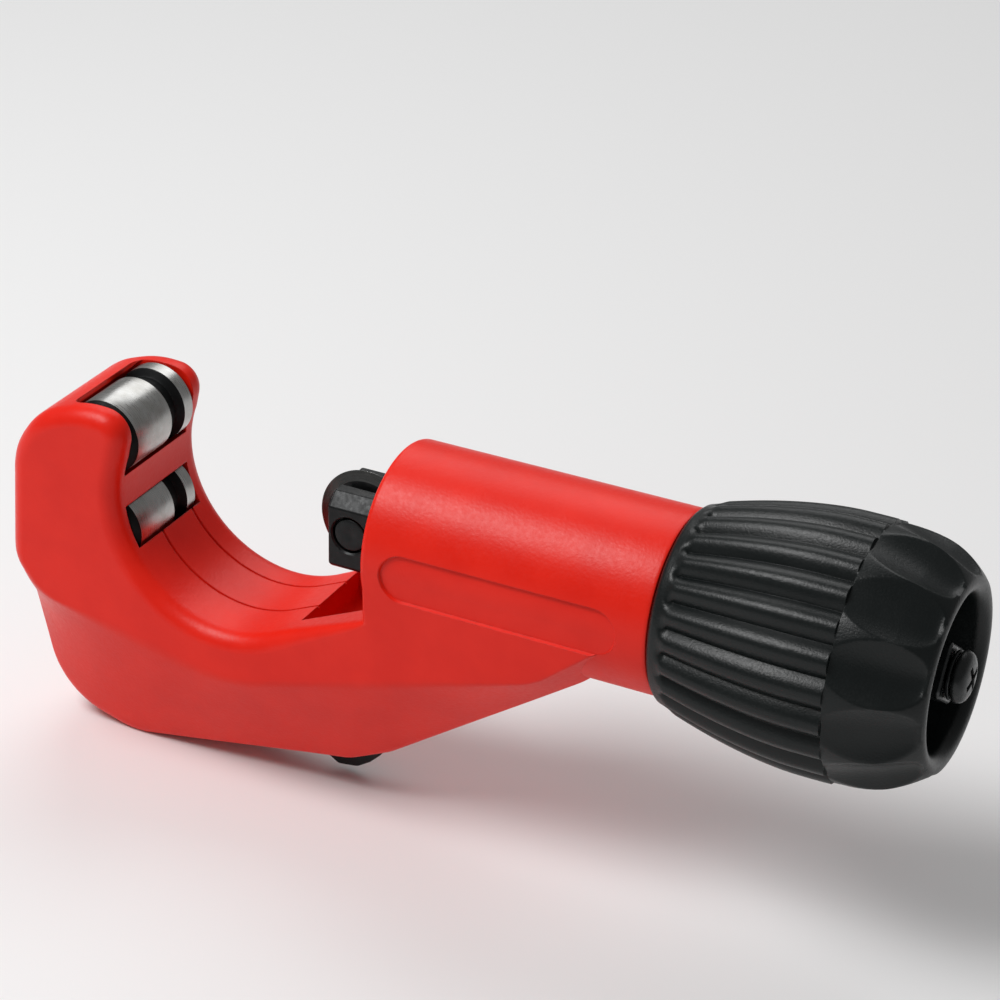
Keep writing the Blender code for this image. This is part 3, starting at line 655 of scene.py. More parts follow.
def inset(points, amounts):
    """Move a polyline towards its right-hand side by an amount at each point."""
    result = []
    for i, (point, amount) in enumerate(zip(points, amounts)):
        before, after = points[max(i - 1, 0)], points[min(i + 1, len(points) - 1)]
        along = Vector((after[0] - before[0], after[1] - before[1])).normalized()
        result.append((point[0] + along.y * amount, point[1] - along.x * amount))
    return result


def casting_outline(depth, share):
    """Side view of the casting at a depth below its flat side; share runs from ledge to keel."""
    rim = rim_curve()
    amounts = []
    for _, _, radius in rim:
        reach = max(radius - depth, 0.0)
        amounts.append(radius - math.sqrt(radius * radius - reach * reach))
    upper = inset([(x, z) for x, z, _ in rim], amounts)
    count = 150
    ledge, keel = resample(ledge_curve(), count), resample(keel_curve(), count)
    lower = [tuple(a + (b - a) * share for a, b in zip(p, q)) for p, q in zip(ledge, keel)]
    shift = upper[0][0] - lower[-1][0]
    lower = [(x + shift * (k / (count - 1)) ** 6, z) for k, (x, z) in enumerate(lower)]
    return upper + lower[:-1]


def flank_stations():
    """(depth, share) pairs from the flat side down the flank to the underside, corners eased."""
    top, bottom = 0.05, 0.07
    stations = []
    for t in (0.0, 0.35, 0.7, 1.0):
        stations.append((top * KEEL_DEPTH * t * t, top * (t * t - (1 - t) ** 2)))
    for depth in (0.65, 1.1, 1.65, 2.2, EDGE_R, 4.7):
        stations.append((depth, depth / KEEL_DEPTH))
    for t in (0.0, 0.25, 0.5, 0.75, 1.0):
        start = KEEL_DEPTH * (1 - bottom)
        depth = (1 - t) ** 2 * start + 2 * t * (1 - t) * KEEL_DEPTH + t * t * (KEEL_DEPTH + 0.9)
        share = (1 - t) ** 2 * (1 - bottom) + 2 * t * (1 - t) + t * t
        stations.append((depth, share))
    return stations


def side_reach(x, far):
    """Distance of the casting's side from the middle plane: slim at the arm, wide at the barrel."""
    start, near_end, far_end = SWELL_X
    arm, end = (ARM_FAR_Y, far_end) if far else (SIDE_Y, near_end)
    t = min(max((x - start) / (end - start), 0.0), 1.0)
    return arm + (BARREL_SIDE_Y - arm) * t * t * (3 - 2 * t)


def slim_arm(body):
    """Cut the casting into bands across X, then draw its sides in towards the arm."""
    shape = bmesh.new()
    shape.from_mesh(body.data)
    bands = 20
    start, _, end = SWELL_X
    for k in range(bands + 1):
        plane = ORIGIN + Vector((start + (end - start) * k / bands, 0, 0)) * MM
        everything = shape.verts[:] + shape.edges[:] + shape.faces[:]
        bmesh.ops.bisect_plane(shape, geom=everything, dist=1e-7, plane_co=plane, plane_no=(1, 0, 0))
    for vert in shape.verts:
        x, y, _ = (vert.co - ORIGIN) / MM
        drawn = BARREL_SIDE_Y - side_reach(x, y > 0)
        vert.co.y -= math.copysign(drawn * min(abs(y) / (BARREL_SIDE_Y - KEEL_DEPTH), 1.0), y) * MM
    shape.to_mesh(body.data)
    shape.free()


def casting():
    """Arm, throat and web as slices of the side view stacked along Y."""
    stations = flank_stations()
    slices = [(d, s, -1) for d, s in stations] + [(d, s, 1) for d, s in reversed(stations)]
    rings = []
    for depth, share, side in slices:
        y = side * (BARREL_SIDE_Y - depth)
        rings.append([(x, y, z) for x, z in casting_outline(depth, share)])
    verts, faces = bridge(rings)
    body = make("frame_body_fine", verts, faces, [RED])
    slim_arm(body)
    return body


def blade_point(along, up):
    """A point beside the folded blade, measured from its pivot."""
    c, s = math.cos(BLADE_ANGLE), math.sin(BLADE_ANGLE)
    return (BLADE_PIVOT[0] + along * c - up * s, BLADE_PIVOT[1] + along * s + up * c)


def barrel():
    front = [(BARREL_FRONT + FRONT_EDGE_R - z, BARREL_R - FRONT_EDGE_R + r)
             for z, r in arc((0, 0), FRONT_EDGE_R, 0, 90, 6)]
    profile = [(BARREL_FRONT, 4.0)] + front
    profile += [(x, BARREL_R) for x in (31, 36, 44, 52, 60, 68)]
    profile += [(BARREL_BACK - 0.6, BARREL_R), (BARREL_BACK - 0.15, BARREL_R - 0.2),
                (BARREL_BACK, BARREL_R - 0.6), (BARREL_BACK, NECK_R), (NECK_BACK, NECK_R)]
    return lathe("barrel", profile, RED, segments=192)


def throat_groove(y):
    """Fine witness line along the throat's arc and up towards the slot."""
    path = [(x, z) for x, z, _ in rim_curve()]
    start = next(i for i, p in enumerate(path) if p[1] < -4.0 and p[0] > -30)
    line = path[start:-4]
    depth, half_width = 0.4, 0.22
    outside = inset(line, [-0.8] * len(line))
    floor = inset(line, [depth] * len(line))
    return prism("groove", outside + list(reversed(floor)), y - half_width, y + half_width, RED)


def panel_cutter(side):
    """Blank recessed panel with sloped lips; its floor runs parallel to the barrel and the flat side."""
    start, lip, lip_width = 12.0, 14.5, 1.1
    middle = sum(PANEL_Z) / 2
    radius = (PANEL_Z[1] - PANEL_Z[0]) / 2 - lip_width * 0.6
    outline = (arc((PANEL_X[1] - PANEL_Z[1] + middle, middle), radius, -90, 90, 24)
               + arc((PANEL_X[0] + PANEL_Z[1] - middle, middle), radius, 90, 270, 24))
    panel = prism("panel", outline, side * start, side * lip, RED, grow=lip_width)
    ends = (PANEL_X[0] - 2, PANEL_X[1] + 2)
    round_floor = lathe("round_floor", [(x, BARREL_R - PANEL_DEPTH) for x in ends], RED, segments=192)
    floor_y = BARREL_SIDE_Y - PANEL_DEPTH
    flat_floor = prism("flat_floor", box_outline((ends[0], PANEL_Z[0] - 2), (ends[1], 0.0)),
                       -floor_y, floor_y, RED)
    cut(panel, round_floor)
    return cut(panel, flat_floor)


def mouth_of_pocket(upper):
    """Wider mouth above the upper roller's back, rounded where it meets the cheeks."""
    wall_x = upper[0] + POCKET_R * math.cos(math.radians(MOUTH_ANGLE))
    outline = box_outline((wall_x, upper[1]), (upper[0] + 1.0, ABOVE_Z))
    return plate("mouth", outline, POCKET_Y[0] + 0.05, POCKET_Y[1] - 0.05, 1.7, RED, steps=8)


def frame_body():
    body = combine(casting(), [barrel()], "UNION")
    slot = smooth_corners([(SLOT_FRONT, -4.0), (SLOT_FRONT, SLOT_FLOOR_Z), (BARREL_FRONT + 1, SLOT_FLOOR_Z),
                           (BARREL_FRONT + 1, -4.0)], (2.0, 0.0), steps=6)
    upper, lower = (ROLLER_X, ROLLER_Z), (ROLLER_X, -ROLLER_Z)
    open_top = arc(upper, POCKET_R, POCKET_BACK_ANGLE, 360, 72)
    open_top += [(-8.0, ROLLER_Z), (-8.0, ABOVE_Z), (open_top[0][0], ABOVE_Z)]
    blade_slot = [blade_point(-13.0, -12.0), blade_point(45.0, -12.0), blade_point(45.0, 6.0),
                  blade_point(-6.0, 6.0), blade_point(-13.0, 1.0)]
    relief = box_outline((BARREL_FRONT - 2, -WHEEL_R - 0.4),
                         (WHEEL_X + RETRACT + WHEEL_R + 0.5, WHEEL_R + 0.4))
    grub_hole = [(-NECK_R - 1, GRUB_R + GAP), (-SEAT_R + 2, GRUB_R + GAP)]
    cut(body, bar("bore", slide_outline(SLIDE_HALF + GAP), 10.0, BORE_BACK, RAW))
    cut(body, mouth_of_pocket(upper))
    cut(body,
        prism("slot", slot, -SLOT_HALF_Y, SLOT_HALF_Y, RED),
        prism("upper_pocket", open_top, *POCKET_Y, RED),
        prism("lower_pocket", arc(lower, POCKET_R, 3, 351, 84), *POCKET_Y, RED),
        prism("blade_slot", blade_slot, -BLADE_HALF_Y - GAP, BLADE_HALF_Y + GAP, RED),
        panel_cutter(-1), panel_cutter(1))
    cut(body, lathe("seat", [(BORE_BACK - 0.1, SEAT_R), (NECK_BACK + 1, SEAT_R)], RAW))
    cut(body,
        prism("wheel_relief", relief, -1.5, 1.5, RAW),
        throat_groove(-3.7), throat_groove(4.8),
        drill("upper_pin_hole", *upper, -12.0, ARM_FAR_Y, ROLLER_PIN_R + GAP, RAW, 0.5),
        drill("lower_pin_hole", *lower, -12.0, ARM_FAR_Y, ROLLER_PIN_R + GAP, RAW, 0.5),
        drill("blade_pin_hole", *BLADE_PIVOT, -5.0, SIDE_Y, BLADE_PIN_R + GAP, RAW),
        lathe("grub_hole", grub_hole, RAW, "Y", (GRUB_X, 0, 0), 32))
    return even_shading(body)


# Rollers and their pins

def roller(name, z):
    """Hardened roller: ground working faces; the groove, the end chamfers and the bore are given a darker,
    duller steel.
    """
    near, far = POCKET_Y[0] + GAP, POCKET_Y[1] - GAP
    bore = ROLLER_PIN_R + GAP
    groove = (0.4, 3.9)
    groove_r = ROLLER_R - 1.2
    profile = [(near, bore + 0.3), (near, ROLLER_R - 0.9), (near + 0.25, ROLLER_R - 0.65),
               (near + 0.75, ROLLER_R - 0.12), (near + 0.95, ROLLER_R), (groove[0] - 0.12, ROLLER_R),
               (groove[0], ROLLER_R - 0.1), (groove[0] + 0.35, groove_r + 0.2), (groove[0] + 0.6, groove_r),
               (groove[1] - 0.6, groove_r), (groove[1] - 0.35, groove_r + 0.2), (groove[1], ROLLER_R - 0.1),
               (groove[1] + 0.12, ROLLER_R), (far - 0.55, ROLLER_R), (far - 0.4, ROLLER_R - 0.1),
               (far, ROLLER_R - 0.6), (far, bore + 0.3), (far - 0.3, bore), (near + 0.3, bore)]
    ground = {4: GROUND, 12: GROUND}
    return lathe(name, profile, DULL_BLACK, "Y", (ROLLER_X, 0, z), 128, bored=True, marks=ground)


def roller_pin(name, z):
    far = ARM_FAR_Y - 0.6
    profile = [(-11.7, 0.6), (-11.7, ROLLER_PIN_R - 0.5), (-11.2, ROLLER_PIN_R), (far - 0.5, ROLLER_PIN_R),
               (far - 0.15, ROLLER_PIN_R - 0.15), (far, ROLLER_PIN_R - 0.5), (far, 1.1), (far - 0.35, 0.4)]
    return lathe(name, profile, GROUND, "Y", (ROLLER_X, 0, z))


# Slide, wheel and fastening

def thread_radius(crest, along, fade, angle):
    """Left-handed trapezoid thread, so that a clockwise turn of the knob feeds the wheel forward."""
    phase = (along / PITCH + angle / (2 * math.pi)) % 1.0
    wave = min(max((abs(phase - 0.5) * 4 - 1) * 1.6, -1.0), 1.0)
    return crest - THREAD_DEPTH / 2 * (1 - wave) - (1 - fade) * 0.3


def threaded(name, start, end, crest, material, ends, segments=48):
    """A rod whose thread runs between plain ends, each a list of (along, radius) pairs."""
    steps = int((end - start) / PITCH * 12)
    middle = []
    for k in range(steps + 1):
        along = start + (end - start) * k / steps
        fade = min(1.0, (along - start) / 1.2 + 0.05, (end - along) / 1.2 + 0.05)
        middle.append((along, partial(thread_radius, crest, along, fade)))
    return lathe(name, ends[0] + middle + ends[1], material, segments=segments)


def slide_block():
    outline = slide_outline(SLIDE_HALF, 0.6)
    body = bar("slide_block_fine", outline, SLIDE_FRONT, SLIDE_BACK, OXIDE, edge=0.4)
    thread_start, thread_end = WHEEL_SLOT_BACK + 0.6, SLIDE_BACK - 0.6
    bore_r = SCREW_R + GAP
    front = [(WHEEL_SLOT_BACK - 1, bore_r)]
    back = [(SLIDE_BACK, bore_r + 0.3), (SLIDE_BACK + 1, bore_r + 0.3)]
    threaded_bore = threaded("thread", thread_start, thread_end, bore_r, OXIDE, (front, back))
    seat_r = WHEEL_PIN_HEAD_R + GAP
    head_seat = [(-9, seat_r + 0.3), (-SLIDE_HALF - 0.01, seat_r + 0.25), (-SLIDE_HALF + 0.25, seat_r),
                 (-SLIDE_HALF + 1.6, seat_r)]
    cut(body, prism("wheel_slot", box_outline((SLIDE_FRONT - 5, -9), (WHEEL_SLOT_BACK, 9)),
                    -WHEEL_SLOT_HALF, WHEEL_SLOT_HALF, OXIDE))
    cut(body, threaded_bore)
    cut(body, drill("pin_hole", WHEEL_X, 0, -9, 9, WHEEL_PIN_R + GAP, OXIDE))
    cut(body,
        lathe("head_seat", head_seat, OXIDE, "Y", (WHEEL_X, 0, 0)),
        drill("clip_seat", WHEEL_X, 0, SLIDE_HALF - 1.5, 9, CLIP_R + GAP, OXIDE))
    return even_shading(body)


def cutting_wheel():
    """Hub, thin web and a double-bevelled edge."""
    hub, bore = WHEEL_SLOT_HALF - GAP, WHEEL_PIN_R + GAP
    half = [(hub - 0.2, bore), (hub, bore + 0.2), (hub, 3.4), (hub - 0.15, 3.6), (1.35, 4.1), (1.12, 4.4),
            (1.05, 4.9), (0.95, WHEEL_R - 1.75), (0.80, WHEEL_R - 1.45), (0.05, WHEEL_R)]
    profile = [(-y, r) for y, r in half] + [(y, r) for y, r in reversed(half)]
    edge = {8: WHEEL_EDGE, 10: WHEEL_EDGE}
    return lathe("cutting_wheel_fine", profile, OXIDE, "Y", (WHEEL_X, 0, 0), 144, bored=True, marks=edge)


def wheel_pin():
    head, far = -SLIDE_HALF + 0.2, SLIDE_HALF - 0.1
    profile = [(head + 0.12, 0.5), (head, 0.9), (head, WHEEL_PIN_HEAD_R - 0.35),
               (head + 0.1, WHEEL_PIN_HEAD_R - 0.1), (head + 0.35, WHEEL_PIN_HEAD_R),
               (head + 1.1, WHEEL_PIN_HEAD_R), (head + 1.1, WHEEL_PIN_R), (SLIDE_HALF - 1.3, WHEEL_PIN_R),
               (SLIDE_HALF - 1.25, WHEEL_PIN_R - 0.35), (SLIDE_HALF - 0.35, WHEEL_PIN_R - 0.35),
               (SLIDE_HALF - 0.3, WHEEL_PIN_R), (far - 0.1, WHEEL_PIN_R - 0.2), (far, WHEEL_PIN_R - 0.45)]
    return lathe("wheel_pin_fine", profile, OXIDE, "Y", (WHEEL_X, 0, 0))


def wheel_pin_clip():
    """Retaining clip with three gripping lugs and an open mouth at the top."""
    mouth = 28
    outer = arc((WHEEL_X, 0), CLIP_R, 90 + mouth, 450 - mouth, 60)
    inner = []
    for k in range(61):
        angle = 450 - mouth - (360 - 2 * mouth) * k / 60
        lug = 0.5 + 0.5 * math.cos(math.radians(3 * (angle - 270)))
        radius = 3.05 - 0.85 * lug ** 0.6
        inner += arc((WHEEL_X, 0), radius, angle, angle, 1)[:1]
    return plate("wheel_pin_clip_fine", outer + inner, SLIDE_HALF - 1.2, SLIDE_HALF - 0.4, 0.12, SPRING)


# Feed spindle and the pieces round it

def square_radius(half, chamfer, angle):
    """Polar form of a square with cut corners, turned with the spindle's square."""
    c, s = abs(math.cos(angle - SQUARE_TURN)), abs(math.sin(angle - SQUARE_TURN))
    return min(half / max(c, s), (2 * half - chamfer) / (c + s))


def feed_spindle():
    """Threaded end, thrust collar, journal and a square that drives the knob."""
    square = partial(square_radius, SQUARE_HALF, SQUARE_CHAMFER)
    eased = partial(square_radius, SQUARE_HALF - 0.3, SQUARE_CHAMFER)
    front = [(38.6, 2.4), (38.75, 2.7)]
    back = [(86.6, 3.0), (COLLAR[0], 3.0), (COLLAR[0], COLLAR_R - 0.3), (COLLAR[0] + 0.3, COLLAR_R),
            (COLLAR[1] - 0.3, COLLAR_R), (COLLAR[1], COLLAR_R - 0.3), (COLLAR[1], JOURNAL_R),
            (100.3, JOURNAL_R), (100.6, JOURNAL_R - 0.3),
            (100.6, square), (SQUARE_BACK - 0.3, square), (SQUARE_BACK, eased)]
    rod = threaded("feed_spindle_fine", 38.9, 86.3, SCREW_R, PIN, (front, back))
    bore = SHANK_R + GAP
    tapped = lathe("tapped", [(96.0, bore), (SQUARE_BACK - 0.4, bore), (SQUARE_BACK + 0.2, bore + 0.4),
                              (SQUARE_BACK + 1, bore + 0.4)], PIN, segments=48)
    return even_shading(cut(rod, tapped))


def flat_washer(name, start, end, inner, outer, material=PIN):
    loop = rounded([(start, inner), (start, outer), (end, outer), (end, inner)], 0.15, 3)
    return lathe(name, loop, material, bored=True)


def wave_washer():
    """Springy ring with three shallow waves."""
    inner, outer, segments = JOURNAL_BORE_R + 0.4, WASHER_R - 0.2, 120
    rings = []
    for k in range(segments):
        angle = 2 * math.pi * k / segments
        lift = 0.28 * math.sin(3 * angle)
        loop = rounded([(WAVE[0], inner), (WAVE[0], outer), (WAVE[1], outer), (WAVE[1], inner)], 0.08, 2)
        rings.append([(along + lift, r * math.cos(angle), r * math.sin(angle)) for along, r in loop])
    verts, faces = bridge(rings, capped=False)
    return make("spindle_wave_washer_fine", verts, faces, [SPRING])


def spindle_bush():
    flange = NECK_BACK + GAP
    back = KNOB_WEB[0] - GAP
    profile = [(BUSH_SEAT, JOURNAL_BORE_R + 0.3), (BUSH_SEAT, WASHER_R - 0.4), (BUSH_SEAT + 0.4, WASHER_R),
               (flange, WASHER_R), (flange, NECK_R - 0.4), (flange + 0.2, NECK_R - 0.2),
               (back - 0.3, NECK_R - 0.2), (back, NECK_R - 0.5), (back, JOURNAL_BORE_R + 0.3),
               (back - 0.3, JOURNAL_BORE_R), (BUSH_SEAT + 0.3, JOURNAL_BORE_R)]
    return lathe("spindle_bush_fine", profile, BRASS, bored=True)


def hexagon_radius(angle):
    """Polar form of the grub screw's socket, 1.5 mm across its flats."""
    return 0.75 / math.cos((angle % (math.pi / 3)) - math.pi / 6)


def bush_grub_screw():
    """Headless screw with a hexagon socket."""
    top = -NECK_R + 0.1
    profile = [(top + 1.2, 0.2), (top + 1.0, hexagon_radius), (top, hexagon_radius), (top, GRUB_R - 0.3),
               (top + 0.3, GRUB_R), (-SEAT_R - 0.25, GRUB_R), (-SEAT_R - 0.05, GRUB_R - 0.2)]
    return lathe("bush_grub_screw_fine", profile, OXIDE, "Y", (GRUB_X, 0, 0), 48)


# Knob and its fastening

def knob_radius(x):
    """Barrel-shaped outer profile: a smooth swell that turns in sharply at the back."""
    swell_x = 97.0
    if x < swell_x:
        t = (swell_x - x) / (swell_x - KNOB_FRONT)
        return KNOB_R - 4.3 * t ** 1.7
    t = (x - swell_x) / (KNOB_BACK - swell_x)
    return KNOB_R - 5.3 * t ** 3.66


def rib_depth(x, angle):
    """Round ribs with narrow valleys between them; they start behind a plain collar."""
    rise = min(max((x - KNOB_FRONT - COLLAR_LENGTH) / 1.6, 0.0), 1.0)
    rise = rise * rise * (3 - 2 * rise)
    valley = 1 - abs(math.sin(RIBS * angle / 2))
    return (1 - rise) * COLLAR_DROP + RIB_DEPTH * rise * valley


def dent_depth(x, angle):
    """Scooped thumb dents behind the ribs, half as wide where they start and round at the back."""
    along = (x - RIB_END) / (DENT_DEEPEST_X - RIB_END)
    if x < DENT_DEEPEST_X:
        depth = DENT_START_DEPTH + (DENT_DEPTH - DENT_START_DEPTH) * math.sin(math.pi / 2 * along)
    else:
        back = min((x - DENT_DEEPEST_X) / (DENT_END_X - DENT_DEEPEST_X), 1.0)
        depth = DENT_DEPTH * math.sqrt(1 - back * back)
    pitch = 2 * math.pi / DENTS
    across = ((angle - pitch / 4) / pitch + 0.5) % 1.0 - 0.5
    return soft_floor(depth - DENT_DEPTH * (2 * across) ** 2, 0.05)


def soft_floor(value, ease):
    """max(value, 0) with a small rounding."""
    return 0.5 * (value + math.sqrt(value * value + ease * ease))


def grip_radius(x, angle):
    """Outside of the grip: ribs, then a small step down to the dented end."""
    if x < RIB_END:
        return knob_radius(x) - rib_depth(x, angle)
    step = RIB_STEP * min(max((DENT_DEEPEST_X - x) / (DENT_DEEPEST_X - RIB_END), 0.0), 1.0)
    return knob_radius(x) - step - dent_depth(x, angle)


def stations(start, end, spacing):
    count = max(1, round((end - start) / spacing))
    return [start + (end - start) * k / count for k in range(count)]


def knob():
    """Hollow grip: ribbed shell, web with a square pocket, and an open recess behind it."""
    front_r = knob_radius(KNOB_FRONT) - COLLAR_DROP
    profile = [(KNOB_FRONT, front_r - 0.5), (KNOB_FRONT + 0.07, front_r - 0.25),
               (KNOB_FRONT + 0.25, front_r - 0.07)]
    ribbed = stations(KNOB_FRONT + 0.5, 78.0, 0.3) + stations(78.0, RIB_END - 0.3, 0.9)
    ribbed += [RIB_END - 0.3, RIB_END - 0.1, RIB_END - 0.02]
    dented = [RIB_END + 0.1] + stations(RIB_END + 0.3, DENT_END_X + 0.1, 0.24)
    profile += [(x, partial(grip_radius, x)) for x in ribbed + dented]
    lean = 0.78
    lip = (knob_radius(DENT_END_X) - KNOB_RECESS_R) / (1 + math.cos(lean))
    lip_x = DENT_END_X - lip * math.sin(lean)
    turns = [lean + (math.pi - lean) * k / 10 for k in range(1, 11)]
    profile += [(lip_x + lip * math.sin(t), KNOB_RECESS_R + lip + lip * math.cos(t)) for t in turns]
    pocket = partial(square_radius, INSERT_HALF + GAP, INSERT_CHAMFER)
    pocket_mouth = partial(square_radius, INSERT_HALF + 2 * GAP, INSERT_CHAMFER + 0.2)
    pocket_floor = INSERT_FRONT - GAP
    profile += [(KNOB_WEB[1] + 0.8, KNOB_RECESS_R - 0.2), (KNOB_WEB[1] + 0.2, KNOB_RECESS_R - 0.45),
                (KNOB_WEB[1], KNOB_RECESS_R - 1.0),
                (KNOB_WEB[1], pocket_mouth), (KNOB_WEB[1] - 0.25, pocket), (pocket_floor, pocket),
                (pocket_floor, WEB_BORE_R), (KNOB_WEB[0], WEB_BORE_R), (KNOB_WEB[0], KNOB_CAVITY_R),
                (KNOB_FRONT + 0.4, KNOB_CAVITY_R), (KNOB_FRONT, KNOB_CAVITY_R + 0.4)]
    return lathe("knob_fine", profile, PLASTIC, segments=RIBS * 20, bored=True)


def knob_insert():
    """Square drive plate in the knob's web with a hub behind it that the knob screw clamps."""
    start, end, floor = INSERT_FRONT, KNOB_WEB[1], KNOB_WEB[1] - INSERT_FLOOR
    outside = partial(square_radius, INSERT_HALF, INSERT_CHAMFER)
    eased = partial(square_radius, INSERT_HALF - 0.2, INSERT_CHAMFER)
    hole = partial(square_radius, SQUARE_HALF + GAP, SQUARE_CHAMFER)
    hub = partial(square_radius, SQUARE_HALF, SQUARE_CHAMFER)
    hub_eased = partial(square_radius, SQUARE_HALF - 0.25, SQUARE_CHAMFER)
    bore = SHANK_R + GAP
    profile = [(start, hole), (start, eased), (start + 0.2, outside), (end - 0.2, outside), (end, eased),
               (end, hub), (HUB_BACK - 0.25, hub), (HUB_BACK, hub_eased), (HUB_BACK, bore), (floor, bore),
               (floor, hole)]
    return lathe("knob_insert_fine", profile, SCREW_BLACK, segments=144, bored=True)


def knob_screw():
    """Pan head screw with a cross recess."""
    under, flank = WASHER_BACK + GAP, 0.6
    dome = [(under + flank + (SCREW_HEAD_HEIGHT - flank) * math.sin(t),
             (SCREW_HEAD_R - 0.1) * math.cos(t) ** 0.6) for t in (0.12, 0.3, 0.5, 0.7, 0.9, 1.1, 1.3, 1.45)]
    profile = [(98.0, SHANK_R - 0.5), (98.5, SHANK_R), (under, SHANK_R), (under, SCREW_HEAD_R - 0.2),
               (under + 0.15, SCREW_HEAD_R - 0.04), (under + 0.4, SCREW_HEAD_R)]
    screw = lathe("knob_screw_fine", profile + dome, SCREW_BLACK, segments=96)
    deep, top = under + SCREW_HEAD_HEIGHT - 1.3, under + SCREW_HEAD_HEIGHT + 0.6
    for turn in (0.35, 0.35 + math.pi / 2):
        flat = Matrix.Rotation(turn, 2)
        rings = []
        for x, length, width in ((deep, 0.9, 0.3), (top, 2.9, 0.62)):
            outline = box_outline((-length, -width), (length, width))
            rings.append([(x, *(flat @ Vector(p))) for p in outline])
        verts, faces = bridge(rings)
        cut(screw, make("cross", verts, faces, [SCREW_BLACK]))
    return even_shading(screw)


# Deburring blade

def deburrer_blade():
    """Pointed blade with a ground upper edge, a round pivot end and a thumb tab below its tip."""
    tab = [(-14.0, -BLADE_END_R), (-12.5, -BLADE_END_R), (-9.1, -7.2), (-7.4, -8.7), (-4.0, -8.8),
           (-1.5, -7.7), (0.8, -6.1), (0.8, -3.0), (0.0, 0.0)]
    tab = [(BLADE_LENGTH + along, up) for along, up in tab]
    lower = arc((0.0, 0.0), BLADE_END_R, 100, 268, 20)
    lower += smooth_corners(tab, (2.0, 2.0, 1.0, 2.0, 1.0, 0.8, 0.8), 4)
    rings = []
    for y, ground, inner in ((-BLADE_HALF_Y, 1.6, 0.15), (-BLADE_HALF_Y + 0.15, 1.45, 0.0), (-0.15, 0.0, 0.0),
                             (0.15, 0.0, 0.0), (BLADE_HALF_Y - 0.15, 1.45, 0.0), (BLADE_HALF_Y, 1.6, 0.15)):
        edge = BLADE_END_R - ground
        upper = [(BLADE_LENGTH - ground * 0.4, 0.5 - ground * 0.8), (BLADE_LENGTH - 7.0, edge), (8.0, edge),
                 (5.5, BLADE_END_R), (1.5, BLADE_END_R)]
        outline = offset_loop(lower + upper, -inner)
        rings.append([(p[0], y, p[1]) for p in (blade_point(*q) for q in outline)])
    verts, faces = bridge(rings)
    blade = make("deburrer_blade_fine", verts, faces, [OXIDE])
    hole = drill("pivot_hole", *BLADE_PIVOT, -4, 4, BLADE_PIN_R + GAP, OXIDE)
    return even_shading(cut(blade, hole))


def deburrer_pivot_pin():
    profile = [(-4.7, 0.4), (-4.7, BLADE_PIN_R - 0.3), (-4.4, BLADE_PIN_R), (4.3, BLADE_PIN_R),
               (4.6, BLADE_PIN_R - 0.3), (4.6, 0.4)]
    return lathe("deburrer_pivot_pin_fine", profile, PIN, "Y", (BLADE_PIVOT[0], 0, BLADE_PIVOT[1]), 64)


def deburrer_spring():
    """Flat strip along the roof of the blade's slot that holds the blade shut."""
    outline = [blade_point(-2.0, 3.75), blade_point(38.0, 3.75), blade_point(40.0, 4.4),
               blade_point(40.0, 5.4), blade_point(-2.0, 5.4)]
    return plate("deburrer_spring_fine", outline, -BLADE_HALF_Y, BLADE_HALF_Y, 0.15, SPRING)


# Putting it together

def stand_for(piece, node):
    """Put a fine piece on the body of a CAD node, and hide the node."""
    record = frame["record"]
    body = next(b for b, members in record["behaviour"]["bodies"].items() if node in members)
    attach(piece, body)
    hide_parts(node)


def build_pieces():
    pieces = {
        "frame_body": frame_body(),
        "slide_block": slide_block(),
        "cutting_wheel": cutting_wheel(),
        "wheel_pin": wheel_pin(),
        "wheel_pin_clip": wheel_pin_clip(),
        "upper_roller": roller("upper_roller_fine", ROLLER_Z),
        "lower_roller": roller("lower_roller_fine", -ROLLER_Z),
        "upper_roller_pin": roller_pin("upper_roller_pin_fine", ROLLER_Z),
        "lower_roller_pin": roller_pin("lower_roller_pin_fine", -ROLLER_Z),
        "feed_spindle": feed_spindle(),
        "inner_thrust_washer": flat_washer("inner_thrust_washer_fine", STACK, STACK + 1.0, SCREW_R + 0.5,
                                           WASHER_R),
        "outer_thrust_washer": flat_washer("outer_thrust_washer_fine", *OUTER_WASHER, JOURNAL_BORE_R,
                                           WASHER_R),
        "spindle_wave_washer": wave_washer(),
        "spindle_bush": spindle_bush(),
        "bush_grub_screw": bush_grub_screw(),
        "knob": knob(),
        "knob_insert": knob_insert(),
        "knob_washer": flat_washer("knob_washer_fine", HUB_BACK + GAP, WASHER_BACK, SHANK_R + GAP, 3.6,
                                   SCREW_BLACK),
        "knob_screw": knob_screw(),
        "deburrer_blade": deburrer_blade(),
        "deburrer_pivot_pin": deburrer_pivot_pin(),
        "deburrer_spring": deburrer_spring(),
    }
    for node, piece in pieces.items():
        stand_for(piece, node)


# Studio

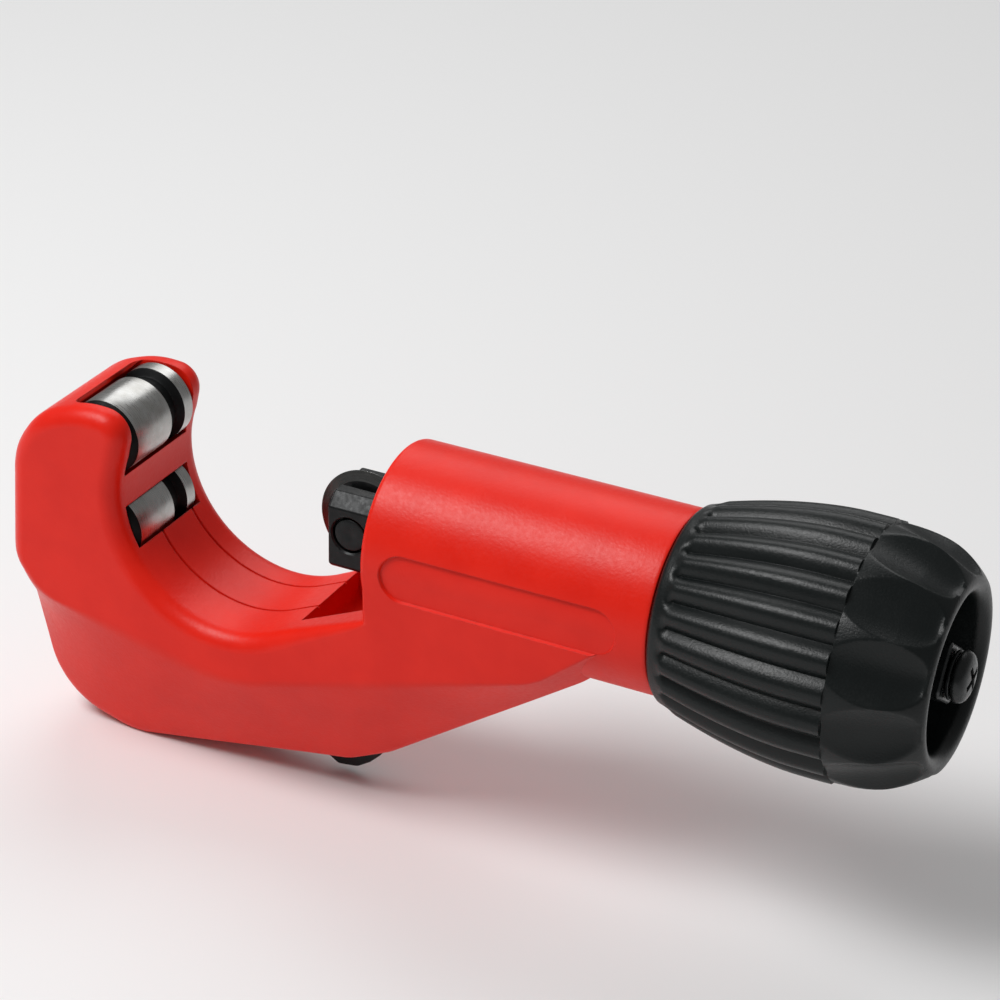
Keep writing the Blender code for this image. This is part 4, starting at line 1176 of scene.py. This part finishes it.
def add_floor():
    low, _ = CAD_BOX
    half = 3.0
    mesh = bpy.data.meshes.new("floor")
    corners = [(-half, -half), (half, -half), (half, half), (-half, half)]
    mesh.from_pydata([(x, y, low.z) for x, y in corners], [], [(0, 1, 2, 3)])
    floor = bpy.data.objects.new("floor", mesh)
    bpy.context.scene.collection.objects.link(floor)
    paper = bpy.data.materials.new("paper")
    paper.use_nodes = True
    shader = paper.node_tree.nodes["Principled BSDF"]
    shader.inputs["Base Color"].default_value = (0.86, 0.86, 0.86, 1.0)
    shader.inputs["Roughness"].default_value = 0.9
    mesh.materials.append(paper)


def add_softbox(name, direction, distance, size, power):
    """Area light that faces the middle of the tool."""
    low, high = CAD_BOX
    middle = (low + high) / 2
    data = bpy.data.lights.new(name, "AREA")
    data.shape = "RECTANGLE"
    data.size, data.size_y = size
    data.energy = power
    light = bpy.data.objects.new(name, data)
    bpy.context.scene.collection.objects.link(light)
    light.location = middle + Vector(direction).normalized() * distance
    light.rotation_mode = "QUATERNION"
    light.rotation_quaternion = (light.location - middle).to_track_quat("Z", "Y")


def add_sky():
    world = bpy.data.worlds.new("studio")
    world.use_nodes = True
    sky = world.node_tree.nodes["Background"]
    sky.inputs["Color"].default_value = (1.0, 1.0, 1.0, 1.0)
    sky.inputs["Strength"].default_value = 0.22
    bpy.context.scene.world = world


def add_camera():
    data = bpy.data.cameras.new("camera")
    data.lens = CAMERA_LENS
    data.sensor_width = 36.0
    data.clip_start, data.clip_end = 0.01, 20.0
    camera = bpy.data.objects.new("camera", data)
    bpy.context.scene.collection.objects.link(camera)
    turn = (Matrix.Rotation(math.radians(CAMERA_AZIMUTH), 3, "Z")
            @ Matrix.Rotation(math.radians(90 - CAMERA_ELEVATION), 3, "X")
            @ Matrix.Rotation(math.radians(CAMERA_ROLL), 3, "Z"))
    camera.rotation_mode = "QUATERNION"
    camera.rotation_quaternion = turn.to_quaternion()
    camera.location = ORIGIN + Vector(CAMERA_PLACE) * MM
    bpy.context.scene.camera = camera


build_pieces()
add_floor()
add_softbox("key", (-0.40, -0.37, 0.85), 0.75, (0.42, 0.30), 4.35)
add_softbox("back", (-0.30, 0.78, 0.90), 1.3, (1.0, 0.8), 5.1)
add_sky()
add_camera()
bpy.context.scene.view_settings.view_transform = "Standard"
